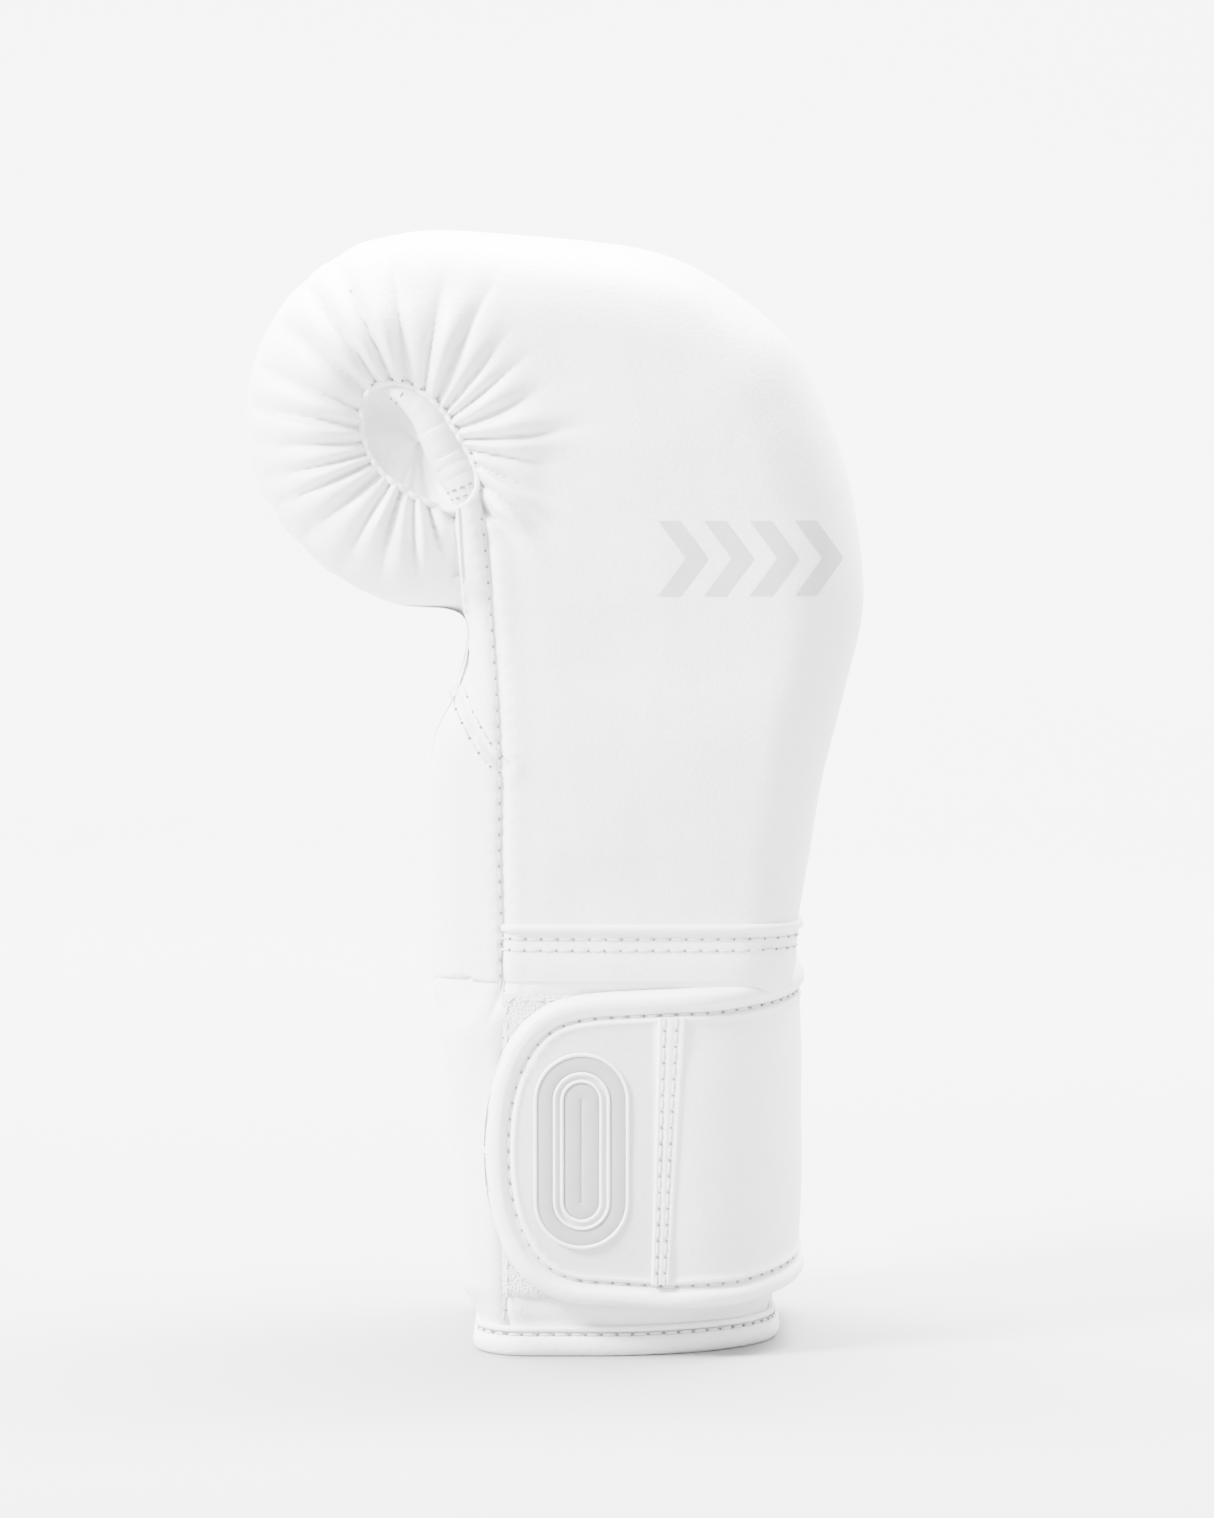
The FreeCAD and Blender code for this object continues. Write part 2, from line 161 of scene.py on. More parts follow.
def leatherMaterial(name, look, colour=None, grain=1.0):
    material, tree, shader, coords = newMaterial(name)
    base = colour or look["colour"]
    broad = noiseNode(tree, coords, 22.0, 4.0)
    fine = noiseNode(tree, coords, 260.0, 5.0, 0.6)
    patches = mathNode(tree, "MULTIPLY", broad, fine)
    dull = rangeNode(tree, patches, 0.0, 1.3)
    dusty = tuple(0.93 * c * t / b for c, t, b in zip(base, look["tint"], look["colour"]))
    toned = mixColour(tree, dull, base, dusty)
    # Painted shade: the shade attribute darkens the colour in seam grooves and pleat valleys, with some dirt
    # along the seams.
    shade = tree.nodes.new("ShaderNodeAttribute")
    shade.attribute_name = "shade"
    grooveShadeAndDirt = mathNode(tree, "MULTIPLY", shade.outputs["Fac"], rangeNode(tree, fine, 0.55, 1.0))
    tintMix = mixColour(tree, grooveShadeAndDirt, toned, look["grooveShadeAndDirtTint"])
    panel = tree.nodes.new("ShaderNodeAttribute")
    panel.attribute_name = "panel"
    smoothed = mixColour(tree, panel.outputs["Fac"], tintMix, look["panelTint"])
    tree.links.new(smoothed, shader.inputs["Base Color"])
    rough = rangeNode(tree, fine, look["roughLow"], look["roughHigh"])
    tree.links.new(mathNode(tree, "SUBTRACT", rough, mathNode(tree, "MULTIPLY", panel.outputs["Fac"], 0.12)),
                   shader.inputs["Roughness"])
    shader.inputs["Specular IOR Level"].default_value = 0.42
    shader.inputs["Sheen Weight"].default_value = 0.06
    shader.inputs["Sheen Roughness"].default_value = 0.5
    cells = tree.nodes.new("ShaderNodeTexVoronoi")
    cells.feature = "SMOOTH_F1"
    cells.inputs["Scale"].default_value = 1 / (look["grainSize"] * grain)
    cells.inputs["Smoothness"].default_value = 0.2
    cells.inputs["Randomness"].default_value = 1.0
    tree.links.new(coords, cells.inputs["Vector"])
    pores = noiseNode(tree, coords, 1.6 / look["grainSize"], 2.0)
    creases = noiseNode(tree, coords, 130.0, 4.0, 0.65)
    height = mathNode(tree, "ADD", cells.outputs["Distance"], mathNode(tree, "MULTIPLY", pores, 0.5))
    height = mathNode(tree, "ADD", height, mathNode(tree, "MULTIPLY", creases, 1.1))
    bumpNode(tree, shader, height, 0.32, look["grainDepth"])
    return material


def clothMaterial(name, colour, threadSize, depth, roughness=0.85, sheen=0.3):
    # Plain weave: two crossed sets of ridges with a little fuzz.
    material, tree, shader, coords = newMaterial(name)
    split = tree.nodes.new("ShaderNodeSeparateXYZ")
    tree.links.new(coords, split.inputs[0])
    step = 2 * math.pi / threadSize
    around = mathNode(tree, "ADD", split.outputs[0], split.outputs[1])
    warp = mathNode(tree, "SINE", mathNode(tree, "MULTIPLY", around, step), 0.0)
    weft = mathNode(tree, "SINE", mathNode(tree, "MULTIPLY", split.outputs[2], step), 0.0)
    weave = mathNode(tree, "MULTIPLY", warp, weft)
    fuzz = noiseNode(tree, coords, 900.0, 3.0)
    dirt = noiseNode(tree, coords, 30.0, 4.0)
    darker = tuple(0.72 * c for c in colour)
    tintMix = rangeNode(tree, mathNode(tree, "MULTIPLY", fuzz, dirt), 0.0, 1.6)
    toned = mixColour(tree, tintMix, colour, darker)
    tree.links.new(toned, shader.inputs["Base Color"])
    tree.links.new(rangeNode(tree, fuzz, roughness - 0.08, min(roughness + 0.08, 1.0)),
                   shader.inputs["Roughness"])
    shader.inputs["Sheen Weight"].default_value = sheen
    height = mathNode(tree, "ADD", weave, mathNode(tree, "MULTIPLY", fuzz, 1.5))
    bumpNode(tree, shader, height, 0.5, depth)
    return material


def pileMaterial(name, colour):
    # Short tangled loops, as on the soft half of a hook-and-loop patch.
    material, tree, shader, coords = newMaterial(name)
    loops = tree.nodes.new("ShaderNodeTexVoronoi")
    loops.inputs["Scale"].default_value = 1400.0
    tree.links.new(coords, loops.inputs["Vector"])
    tangle = noiseNode(tree, coords, 500.0, 5.0, 0.7)
    shadeFactor = rangeNode(tree, mathNode(tree, "MULTIPLY", loops.outputs["Distance"], tangle), 0.0, 1.4)
    toned = mixColour(tree, shadeFactor, colour, tuple(0.6 * c for c in colour))
    tree.links.new(toned, shader.inputs["Base Color"])
    tree.links.new(rangeNode(tree, tangle, 0.85, 1.0), shader.inputs["Roughness"])
    shader.inputs["Sheen Weight"].default_value = 0.5
    bumpNode(tree, shader, mathNode(tree, "ADD", loops.outputs["Distance"], tangle), 0.8, 0.0006)
    return material


def plasticMaterial(name, colour, roughness):
    material, tree, shader, coords = newMaterial(name)
    fine = noiseNode(tree, coords, 700.0, 4.0)
    broad = noiseNode(tree, coords, 60.0, 3.0)
    tintMix = rangeNode(tree, mathNode(tree, "MULTIPLY", fine, broad), 0.0, 1.2)
    toned = mixColour(tree, tintMix, colour, tuple(min(1.25 * c, 1) for c in colour))
    tree.links.new(toned, shader.inputs["Base Color"])
    tree.links.new(rangeNode(tree, fine, roughness - 0.07, roughness + 0.07), shader.inputs["Roughness"])
    bumpNode(tree, shader, fine, 0.25, 0.0001)
    return material


whiteLeather = leatherMaterial("whiteGrainedLeather", leatherLook)
smoothLeather = leatherMaterial("smoothPaddedLining", leatherLook, (0.72, 0.725, 0.735), 1.6)
liningCloth = clothMaterial("wovenLining", (0.66, 0.67, 0.69), 0.0008, 0.0001)
loopCloth = pileMaterial("loopPile", (0.78, 0.775, 0.765))
hookCloth = pileMaterial("hookTape", (0.70, 0.70, 0.69))
elasticCloth = clothMaterial("ribbedElastic", (0.70, 0.70, 0.70), 0.0016, 0.0003)
threadCloth = clothMaterial("stitchThread", (0.72, 0.705, 0.68), 0.0004, 0.00005)
# Dark dots of painted shade for needle holes; the same dark brown serves the lip's thread.
holeShadeAndDarkThread = clothMaterial("needleHoleShadeAndDarkThread", (0.22, 0.19, 0.165), 0.0004, 0.00005)
greyRubber = plasticMaterial("greyRubber", (0.31, 0.31, 0.315), 0.5)
greyPrint = plasticMaterial("greyPrint", (0.41, 0.41, 0.41), 0.5)
foamGrey = clothMaterial("denseFoam", (0.34, 0.34, 0.34), 0.0009, 0.0002)


# Mesh helpers

def addMesh(name, verts, faces, material, shade=None, body=None, panel=None):
    mesh = bpy.data.meshes.new(name)
    mesh.from_pydata([tuple(v) for v in toRow(verts)], [], [tuple(int(i) for i in f) for f in faces])
    for label, values in (("shade", shade), ("panel", panel)):
        if values is not None:
            attribute = mesh.attributes.new(label, "FLOAT", "POINT")
            attribute.data.foreach_set("value", np.asarray(values, np.float32))
    work = bmesh.new()
    work.from_mesh(mesh)
    bmesh.ops.remove_doubles(work, verts=work.verts, dist=2e-6)
    loose = [v for v in work.verts if not v.link_faces]
    bmesh.ops.delete(work, geom=loose, context="VERTS")
    bmesh.ops.recalc_face_normals(work, faces=work.faces)
    for face in work.faces:
        face.smooth = True
    work.to_mesh(mesh)
    work.free()
    mesh.materials.append(material)
    piece = bpy.data.objects.new(name, mesh)
    bpy.context.scene.collection.objects.link(piece)
    if body:
        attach(piece, body)
    return piece


def flipIfInward(piece, middle):
    # An open shell has no inside of its own, so its faces are turned away from a middle point.
    mesh = piece.data
    centre = Vector(toRow([middle])[0])
    total = sum(p.area * p.normal.dot(p.center - centre) for p in mesh.polygons)
    if total < 0:
        mesh.flip_normals()


def gridFaces(rows, columns, closed=False, start=0):
    faces = []
    span = columns if closed else columns - 1
    for r in range(rows - 1):
        for c in range(span):
            d = (c + 1) % columns
            a = start + r * columns
            faces.append((a + c, a + d, a + columns + d, a + columns + c))
    return faces


def resample(points, count, weights=None):
    # Smooth curve through the points, cut into pieces whose length follows the weights.
    pts = np.asarray(points, float)
    pts = np.vstack([2 * pts[0] - pts[1], pts, 2 * pts[-1] - pts[-2]])
    dense = []
    for i in range(1, len(pts) - 2):
        t = np.linspace(0, 1, 24, endpoint=False)[:, None]
        p0, p1, p2, p3 = pts[i - 1], pts[i], pts[i + 1], pts[i + 2]
        dense.append(0.5 * (2 * p1 + (p2 - p0) * t + (2 * p0 - 5 * p1 + 4 * p2 - p3) * t ** 2
                            + (3 * p1 - p0 - 3 * p2 + p3) * t ** 3))
    dense.append(pts[-2][None])
    dense = np.vstack(dense)
    gaps = np.linalg.norm(np.diff(dense[:, :2], axis=0), axis=1)
    if weights is not None:
        gaps = gaps * weights(0.5 * (dense[1:] + dense[:-1]))
    along = np.concatenate([[0], np.cumsum(gaps)])
    wanted = np.linspace(0, along[-1], count)
    return np.stack([np.interp(wanted, along, dense[:, k]) for k in range(dense.shape[1])], 1)


def lineDistance(x, z, line):
    # Distance from points to a polyline, with the sign of the side and the length along it.
    best = np.full(x.shape, 1e9)
    along = np.zeros(x.shape)
    side = np.zeros(x.shape)
    length = 0.0
    for (ax, az), (bx, bz) in zip(line[:-1], line[1:]):
        dx, dz = bx - ax, bz - az
        size = math.hypot(dx, dz)
        t = np.clip(((x - ax) * dx + (z - az) * dz) / size ** 2, 0, 1)
        d = np.hypot(x - ax - t * dx, z - az - t * dz)
        near = d < best
        best = np.where(near, d, best)
        along = np.where(near, length + t * size, along)
        side = np.where(near, np.sign((x - ax) * dz - (z - az) * dx), side)
        length += size
    return best, along, side


def tubeAlong(path, radius, sides=12, closed=False, flat=1.0, normals=None):
    # A round or flattened bead along a path of points.
    path = np.asarray(path, float)
    n = len(path)
    if closed:
        tangent = np.roll(path, -1, 0) - np.roll(path, 1, 0)
    else:
        tangent = np.gradient(path, axis=0)
    tangent /= np.linalg.norm(tangent, axis=1)[:, None]
    up = np.tile([0.0, -1.0, 0.0], (n, 1)) if normals is None else np.asarray(normals, float)
    across = np.cross(tangent, up)
    across /= np.linalg.norm(across, axis=1)[:, None]
    up = np.cross(across, tangent)
    size = np.broadcast_to(radius, (n,))
    verts = []
    for i in range(n):
        for k in range(sides):
            a = 2 * math.pi * k / sides
            verts.append(path[i] + size[i] * (math.cos(a) * across[i] + flat * math.sin(a) * up[i]))
    faces = gridFaces(n, sides, True)
    if closed:
        last = (n - 1) * sides
        for k in range(sides):
            j = (k + 1) % sides
            faces.append((last + k, last + j, j, k))
    else:
        faces.append(tuple(range(sides)))
        faces.append(tuple((n - 1) * sides + k for k in range(sides)))
    return np.array(verts), faces


# The hand part

hand = {
    "halfWidth": 56.0,
    "wristHalfWidth": 48.5,
    "wristZ": 99.0,
    "fullWidthZ": 172.0,
    "rollX": -32.5,
    "rollZ": 241.0,
    "rollRadius": 47.0,
    "outlineSteps": 520,
    "beltSteps": 22,
    "holeX": -35.0,
    "holeZ": 235.0,
    "pleats": 25,
    "pleatHeight": 3.7,
    "funnelDepth": 5.5,
    "seamDepth": 1.1,
    "stripDrop": 8.5,
    "notchX": -22.4,  # where the finger roll meets the palm
    "notchZ": 188.6,
    "crossZ": 171.6,  # height of the seam that divides the palm
}


def onRoll(degrees, grow=0.0):
    a = math.radians(degrees)
    r = hand["rollRadius"] + grow
    return hand["rollX"] + r * math.cos(a), hand["rollZ"] + r * math.sin(a)


def outlinePoints():
    # x, z, width of the rounded edge seen from the side, and its depth across the glove.
    wrist = hand["wristZ"] - 3
    return [
        (61.6, wrist, 15, 15),
        (61.8, 104, 15, 15),
        (64.6, 122, 16, 17),
        (68.4, 146, 17, 19),
        (74.4, 170, 20, 21),
        (79.0, 189, 22, 23),
        (79.0, 205, 22, 24),
        (75.2, 226, 22, 24),
        (68.2, 246, 22, 24),
        (60.0, 261, 22, 24),
        (46.5, 272.4, 22, 24),
        (30.0, 281.8, 22, 24),
        (8.0, 286.0, 23, 24),
        (-14.0, 287.8, 24, 24),
        onRoll(92, 0.6) + (25, 24),
        onRoll(115, 0.6) + (26, 24),
        onRoll(140, 0.4) + (27, 24),
        onRoll(165) + (28, 24),
        onRoll(190, -0.2) + (28, 24),
        onRoll(212, -0.8) + (27, 24),
        onRoll(236, -0.4) + (24, 23),
        onRoll(258, 1.2) + (20, 21),
        (-27.0, 192.0, 13, 16),
        (hand["notchX"], hand["notchZ"], 7, 9),
        (-22.2, 181, 10, 10),
        (-25.0, 171.4, 18, 13),
        (-30.6, 160, 28, 16),
        (-32.4, 146, 32, 17),
        (-32.2, 125, 33, 17),
        (-31.7, 108, 32, 16),
        (-31.4, wrist, 31, 15),
    ]


outline = resample(outlinePoints(), hand["outlineSteps"],
                   weights=lambda q: np.where(q[:, 0] < -15, 1.25, 1.0))
notchRow = int(np.argmin(np.hypot(outline[:, 0] - hand["notchX"], outline[:, 1] - hand["notchZ"])))
footLine = np.linspace(outline[-1], outline[0], 60)[1:-1]
loop = np.vstack([outline, footLine])
pinkySeam = [(-19.6, 226), (-17.8, 217), (-16.4, 204), (-15.3, 190), (-13.9, 169), (-13.2, 150), (-13.4, 128),
             (-13.0, 112), (-13.2, 96)]
dividingSeam = [(-26.0, 173.4), (-24.6, 170.6), (-22.6, 165.8), (-19.8, 160.4), (-16.6, 155.6),
                (-13.4, 152.4)]
stripEdge = [(-24.4, 224), (-24.2, 217), (-23.5, 204), (-23.0, 196), (hand["notchX"], hand["notchZ"])]
foldLine = [(-19.4, 229.5), (-13, 221), (-7.5, 212), (-3.0, 203)]
holeAngles = [-214, -177.3, -146, -113, -87.6, -70.6, -58, -45, -30.5, -16, -3, 22, 57, 87, 100.6, 112.6,
              126, 139,
              155.5, 182.7]
holeRadii = [11.7, 12.7, 11.7, 11.8, 14.3, 17.5, 20.4, 20.6, 18.1, 14.5, 11.8, 9.9, 10.6, 12.8, 15.0, 16.4,
             17.8,
             17.3, 15.2, 12.7]
pleatAngles = [-180, -150, -120, -98, -80, -55, -38, -18, 10, 35, 60, 90, 120, 150, 180]
pleatReach = [42, 42, 40, 35, 22, 10, 20, 28, 31, 28, 32, 42, 45, 44, 42]
pleatNoise = noise.uniform(0.45, 1.25, 64)
pleatLength = noise.uniform(0.72, 1.12, 64)


def holeRadius(angle):
    return np.interp(np.degrees(angle), holeAngles, holeRadii)


def halfWidth(z):
    grown = smooth(hand["wristZ"] - 8, hand["fullWidthZ"], z)
    return hand["wristHalfWidth"] + (hand["halfWidth"] - hand["wristHalfWidth"]) * grown


def edgeRounding(x, z):
    # How far the surface stands in from the full width, from the distance to the outline.
    away = np.empty(x.shape)
    wide = np.empty(x.shape)
    deep = np.empty(x.shape)
    step = 4000
    for i in range(0, len(x), step):
        dx = x[i:i + step, None] - outline[None, :, 0]
        dz = z[i:i + step, None] - outline[None, :, 1]
        d2 = dx * dx + dz * dz
        away[i:i + step] = np.sqrt(d2.min(1))
        weight = 1 / (d2 + 12.0) ** 2
        weight /= weight.sum(1)[:, None]
        wide[i:i + step] = weight @ outline[:, 2]
        deep[i:i + step] = weight @ outline[:, 3]
    t = 1 - np.clip(away / wide, 0, 1)
    inset = deep * (1 - np.sqrt(np.clip(1 - t ** 2.15, 0, 1)))
    crown = 2.2 * np.exp(-np.clip(away - wide * 0.6, 0, None) / 26.0)
    return inset + crown, away


def pleatPhase(angle, rim):
    uneven = 0.60 * np.sin(2 * angle + 0.7) + 0.42 * np.sin(5 * angle + 2.1) + 0.22 * np.sin(9 * angle)
    return hand["pleats"] * angle / 2 + uneven + 0.22 * np.sin(rim / 9.0 + 3 * angle) - 0.012 * rim


def pleatShape(x, z):
    # Gathers: broad ridges with sharp valleys, each with its own height and length.
    dx = x - hand["holeX"]
    dz = z - hand["holeZ"]
    angle = np.arctan2(dz, dx)
    rim = np.hypot(dx, dz) - holeRadius(angle)
    phase = pleatPhase(angle, np.clip(rim, 0, None))
    index = np.floor(phase / math.pi + 0.5).astype(int) % 64
    ridge = np.abs(np.cos(phase)) ** 0.8
    reach = np.interp(np.degrees(angle), pleatAngles, pleatReach)
    reach = 1.12 * reach * (1 + 0.12 * np.sin(7 * angle) + 0.08 * np.sin(11 * angle + 1))
    share = np.clip(rim / reach, 0, None)
    fade = (1 - smooth(0.25, 1.05, share)) * (0.6 + 0.4 * smooth(-1.0, 5.0, rim))
    own = 1 - smooth(0.35, 1.0, share / pleatLength[index])
    height = hand["pleatHeight"] * fade * (ridge * (0.45 + 0.55 * pleatNoise[index] * own) - 0.55)
    fine = np.abs(np.cos(2.5 * phase + 1.3 * np.sin(3 * angle))) ** 0.7
    height = height + 0.55 * (fine - 0.6) * np.exp(-np.clip(rim, 0, None) / 9.0)
    funnel = -hand["funnelDepth"] * np.exp(-np.clip(rim, 0, None) / 7.0)
    puff = 1.8 * bump(rim - 14, 10) * fade
    valley = (1 - ridge) ** 2 * fade
    return height + funnel + puff, valley, rim


def sideSurface(x, z, little=True):
    # Distance from the middle plane out to the flat side, and the painted shade in its seam grooves and pleat
    # valleys.
    inset, away = edgeRounding(x, z)
    height = halfWidth(z) - inset
    seam, along, _ = lineDistance(x, z, pinkySeam)
    inside = smooth(0, 6, away)
    pucker = 1 + 0.25 * np.sin(along * 2 * math.pi / 4.1) * bump(seam - 2.0, 2.0)
    height -= hand["seamDepth"] * bump(seam, 1.0) * pucker
    height += 0.5 * bump(seam - 3.4, 2.6) * pucker
    # Painted shade, with some dirt, in the seam's groove.
    shade = 0.55 * bump(seam, 0.6)
    height -= 1.4 * smooth(1, -26, x) * smooth(204, 186, z)
    pleat, valley, rim = pleatShape(x, z)
    if little:
        cross, _, _ = lineDistance(x, z, dividingSeam)
        height -= 1.0 * bump(cross, 0.9) * smooth(0, 3, away)
        height += 0.5 * bump(cross - 3.6, 2.2) * inside
        # Painted shade, with some dirt, in the dividing seam's groove.
        shade = np.maximum(shade, 0.5 * bump(cross, 0.6))
        strip, _, stripSide = lineDistance(x, z, stripEdge)
        fromTop = smooth(228, 200, z)
        behind = (stripSide > 0) & (z < 226) & (x < -20)
        drop = hand["stripDrop"] * (0.25 + 0.75 * fromTop) * np.exp(-strip / 9.0) * smooth(0, 1.1, strip)
        drop = drop * smooth(228, 221, z)
        height -= np.where(behind, drop, 0)
        onStrip = (stripSide <= 0) & (z < 222)
        height -= np.where(onStrip, 0.8 * bump(strip, 1.3), 0) * smooth(187, 192, z)
        # No gathers between the seam and the padded lip.
        besideSeam = smooth(2, -2, x - np.interp(z, [190, 226], [-16, -20]))
        gathered = 1 - besideSeam * smooth(229, 222, z) * (x > -25)
        height += pleat * smooth(0, 4, away) * gathered
        # Painted shade in the pleat valleys.
        shade = np.maximum(shade, 0.36 * valley * smooth(38, 4, rim) * gathered)
        fold, foldAlong, foldSide = lineDistance(x, z, foldLine)
        pulled = 1.3 * bump(fold, 3.0) - 1.5 * bump(fold - 5.0, 4.0) * (foldSide > 0)
        height += pulled * smooth(34, 6, foldAlong)
        height -= 0.8 * bump(np.hypot((x - 10) / 1.7, z - 119), 9.0)
        height -= 0.9 * bump(np.hypot((x - 18) / 2.2, z - 176), 16.0)
        height += 0.8 * bump(np.hypot((x - 30) / 1.4, z - 236), 24.0)
    else:
        height += 0.6 * pleat * smooth(0, 5, away) * smooth(-9, 4, rim)
        # Painted shade in the pleat valleys on the far side.
        shade = np.maximum(shade, 0.2 * valley * smooth(-4, 3, rim))
    height += 0.40 * wobble(x, z, 15.0, 1 if little else 4) * inside
    height += 0.14 * wobble(x, z, 5.5, 2 if little else 5) * inside
    return height, shade


def inLoop(x, z, ring):
    inside = np.zeros(x.shape, bool)
    for (ax, az), (bx, bz) in zip(ring, np.roll(ring, -1, 0)):
        if az != bz:
            crosses = (az > z) != (bz > z)
            inside ^= crosses & (x < (bx - ax) * (z - az) / (bz - az) + ax)
    return inside


def snapped(line, targets, ends):
    # Ends of a line moved onto the nearest target point, so the pieces beside it share that point.
    line = np.array(line, float)
    for end in ends:
        near = np.argmin(np.hypot(*(targets - line[end]).T))
        line[end] = targets[near]
    return line


def holeLoop(extra=0.0, count=250):
    angle = np.linspace(-math.pi, math.pi, count, endpoint=False)
    wide = np.linspace(-math.pi - 0.18, math.pi + 0.18, count * 2)
    radius = holeRadius(np.angle(np.exp(1j * wide)))
    radius = np.convolve(np.pad(radius, 9, "edge"), np.ones(19) / 19, "valid")
    r = np.interp(angle, wide, radius) + extra
    return np.stack([hand["holeX"] + r * np.cos(angle), hand["holeZ"] + r * np.sin(angle)], 1), angle


loopXZ = loop[:, :2]
loopTangent = np.roll(loopXZ, -1, 0) - np.roll(loopXZ, 1, 0)
loopTangent /= np.linalg.norm(loopTangent, axis=1)[:, None]
loopOut = np.stack([-loopTangent[:, 1], loopTangent[:, 0]], 1)
if inLoop(np.array([loopXZ[200, 0] + loopOut[200, 0]]), np.array([loopXZ[200, 1] + loopOut[200, 1]]),
          loopXZ)[0]:
    loopOut = -loopOut
edgeHeight = halfWidth(loopXZ[:, 1]) - loop[:, 3] - 2.2


def beltRows():
    # The belt runs over the outline from the little-finger side to the thumb side.
    along = np.cumsum(np.concatenate([[0], np.linalg.norm(np.diff(loopXZ, axis=0), axis=1)]))
    isPalm = np.arange(len(loop)) >= notchRow
    above = smooth(hand["wristZ"] + 9, hand["wristZ"] + 31, loopXZ[:, 1])
    angle = np.arctan2(loopXZ[:, 1] - hand["holeZ"], loopXZ[:, 0] - hand["holeX"])
    scallop = np.abs(np.cos(pleatPhase(angle, 34.0))) - 0.6
    onLeft = smooth(-20, -50, loopXZ[:, 0]) * smooth(194, 206, loopXZ[:, 1])
    crossing = np.abs(loopXZ[:, 1] - hand["crossZ"])
    rows, shades = [], []
    for share in np.linspace(-1, 1, hand["beltSteps"] + 1):
        push = (0.45 * wobble(along, share * 50, 17.0, 3) + 1.2) * (1 - share ** 2) * above
        push = push + 0.9 * scallop * onLeft * (1 - share ** 2) ** 0.5 * float(smooth(-0.05, -0.75, share))
        push = push - 1.1 * bump(crossing, 1.1) * isPalm
        xz = loopXZ + loopOut * push[:, None]
        rows.append(np.stack([xz[:, 0], share * edgeHeight, xz[:, 1]], 1))
        # Painted shade, with some dirt, in the groove of the palm's dividing seam.
        shades.append(0.5 * bump(crossing, 0.7) * isPalm)
    return rows, shades


def sideMesh(little, edgeRow):
    seam = snapped(resample(pinkySeam, 150), loopXZ, [-1])
    lines, ring = [], None
    if little:
        ring, _ = holeLoop()
        seam = snapped(seam, ring, [0])
        strip = snapped(snapped(resample(stripEdge, 40), ring, [0]), loopXZ, [-1])
        cross = snapped(snapped(resample(dividingSeam, 32), loopXZ, [0]), seam, [-1])
        lines = [seam, cross, strip]
    else:
        seam = seam[seam[:, 1] < 189]
        cross = snapped(snapped(np.linspace((-25, hand["crossZ"]), (-14, hand["crossZ"]), 16), loopXZ, [0]),
                        seam, [-1])
        top = snapped(np.linspace((hand["notchX"], hand["notchZ"]), tuple(seam[0]), 10), loopXZ, [0])
        lines = [seam, cross, top]
    found = []
    for inset in (0.12, 0.35, 0.7, 1.15, 1.7, 2.4, 3.2, 4.2, 5.4, 6.8, 8.4):
        step = 1 if inset < 5 else 2
        xz = (loopXZ - loopOut * inset)[:len(outline):step]
        _, away = edgeRounding(xz[:, 0], xz[:, 1])
        found.append(xz[away > 0.93 * inset])

    def hexGrid(step, want):
        zs = np.arange(96.6, 292, step * 0.866)
        xs = np.arange(-84, 84, step)
        gx, gz = np.meshgrid(xs, zs)
        gx = gx + 0.5 * step * (np.arange(len(zs)) % 2)[:, None]
        x, z = gx.ravel(), gz.ravel()
        keep = inLoop(x, z, loopXZ)
        x, z = x[keep], z[keep]
        _, away = edgeRounding(x, z)
        keep = (away > 9.2) & want(x, z)
        found.append(np.stack([x[keep], z[keep]], 1))

    def nearSeam(x, z):
        return np.min([lineDistance(x, z, line)[0] for line in lines], axis=0) < 4.2

    def onRollEnd(x, z):
        return np.hypot(x - hand["holeX"], z - hand["holeZ"]) < 54

    if little:
        hexGrid(0.62, nearSeam)
        hexGrid(0.80, lambda x, z: onRollEnd(x, z) & ~nearSeam(x, z))
        hexGrid(1.5, lambda x, z: ~onRollEnd(x, z) & ~nearSeam(x, z))
        for extra in (0.35, 0.8, 1.4, 2.1):
            found.append(holeLoop(extra)[0])
    else:
        hexGrid(1.0, lambda x, z: onRollEnd(x, z) | nearSeam(x, z))
        hexGrid(2.2, lambda x, z: ~onRollEnd(x, z) & ~nearSeam(x, z))
    free = np.vstack(found)
    free = free[inLoop(free[:, 0], free[:, 1], loopXZ)]
    free = free[np.min([lineDistance(free[:, 0], free[:, 1], line)[0] for line in lines], axis=0) > 0.22]
    if little:
        angle = np.arctan2(free[:, 1] - hand["holeZ"], free[:, 0] - hand["holeX"])
        fromHole = np.hypot(free[:, 0] - hand["holeX"], free[:, 1] - hand["holeZ"])
        free = free[fromHole - holeRadius(angle) > 0.3]
    points = [loopXZ]
    edges = [(i, (i + 1) % len(loopXZ)) for i in range(len(loopXZ))]
    if little:
        start = len(loopXZ)
        points.append(ring)
        edges += [(start + i, start + (i + 1) % len(ring)) for i in range(len(ring))]
    for line in lines:
        start = sum(len(p) for p in points)
        points.append(line)
        edges += [(start + i, start + i + 1) for i in range(len(line) - 1)]
    points.append(free)
    flat = np.vstack(points)
    made = delaunay_2d_cdt([Vector(q) for q in flat], edges, [], 0, 1e-4, True)
    xz = np.array([tuple(v) for v in made[0]])
    faces = np.array([tuple(f) for f in made[2]])
    middle = xz[faces].mean(1)
    keep = inLoop(middle[:, 0], middle[:, 1], loopXZ)
    if little:
        keep &= ~inLoop(middle[:, 0], middle[:, 1], ring)
    faces = faces[keep]
    height, shade = sideSurface(xz[:, 0], xz[:, 1], little)
    verts = np.stack([xz[:, 0], (-height if little else height), xz[:, 1]], 1)
    for i, sources in enumerate(made[3]):
        low = min(sources) if len(sources) else len(flat)
        if low < len(loopXZ):
            verts[i] = edgeRow[low]
    return verts, faces, shade


def lineX(line, z):
    ordered = sorted((b, a) for a, b in line)
    return np.interp(z, [q[0] for q in ordered], [q[1] for q in ordered])


def underLine(x, z):
    # Below the seam that divides the palm, on the little-finger side.
    xs, zs = zip(*dividingSeam)
    return z < np.interp(x, xs, zs)


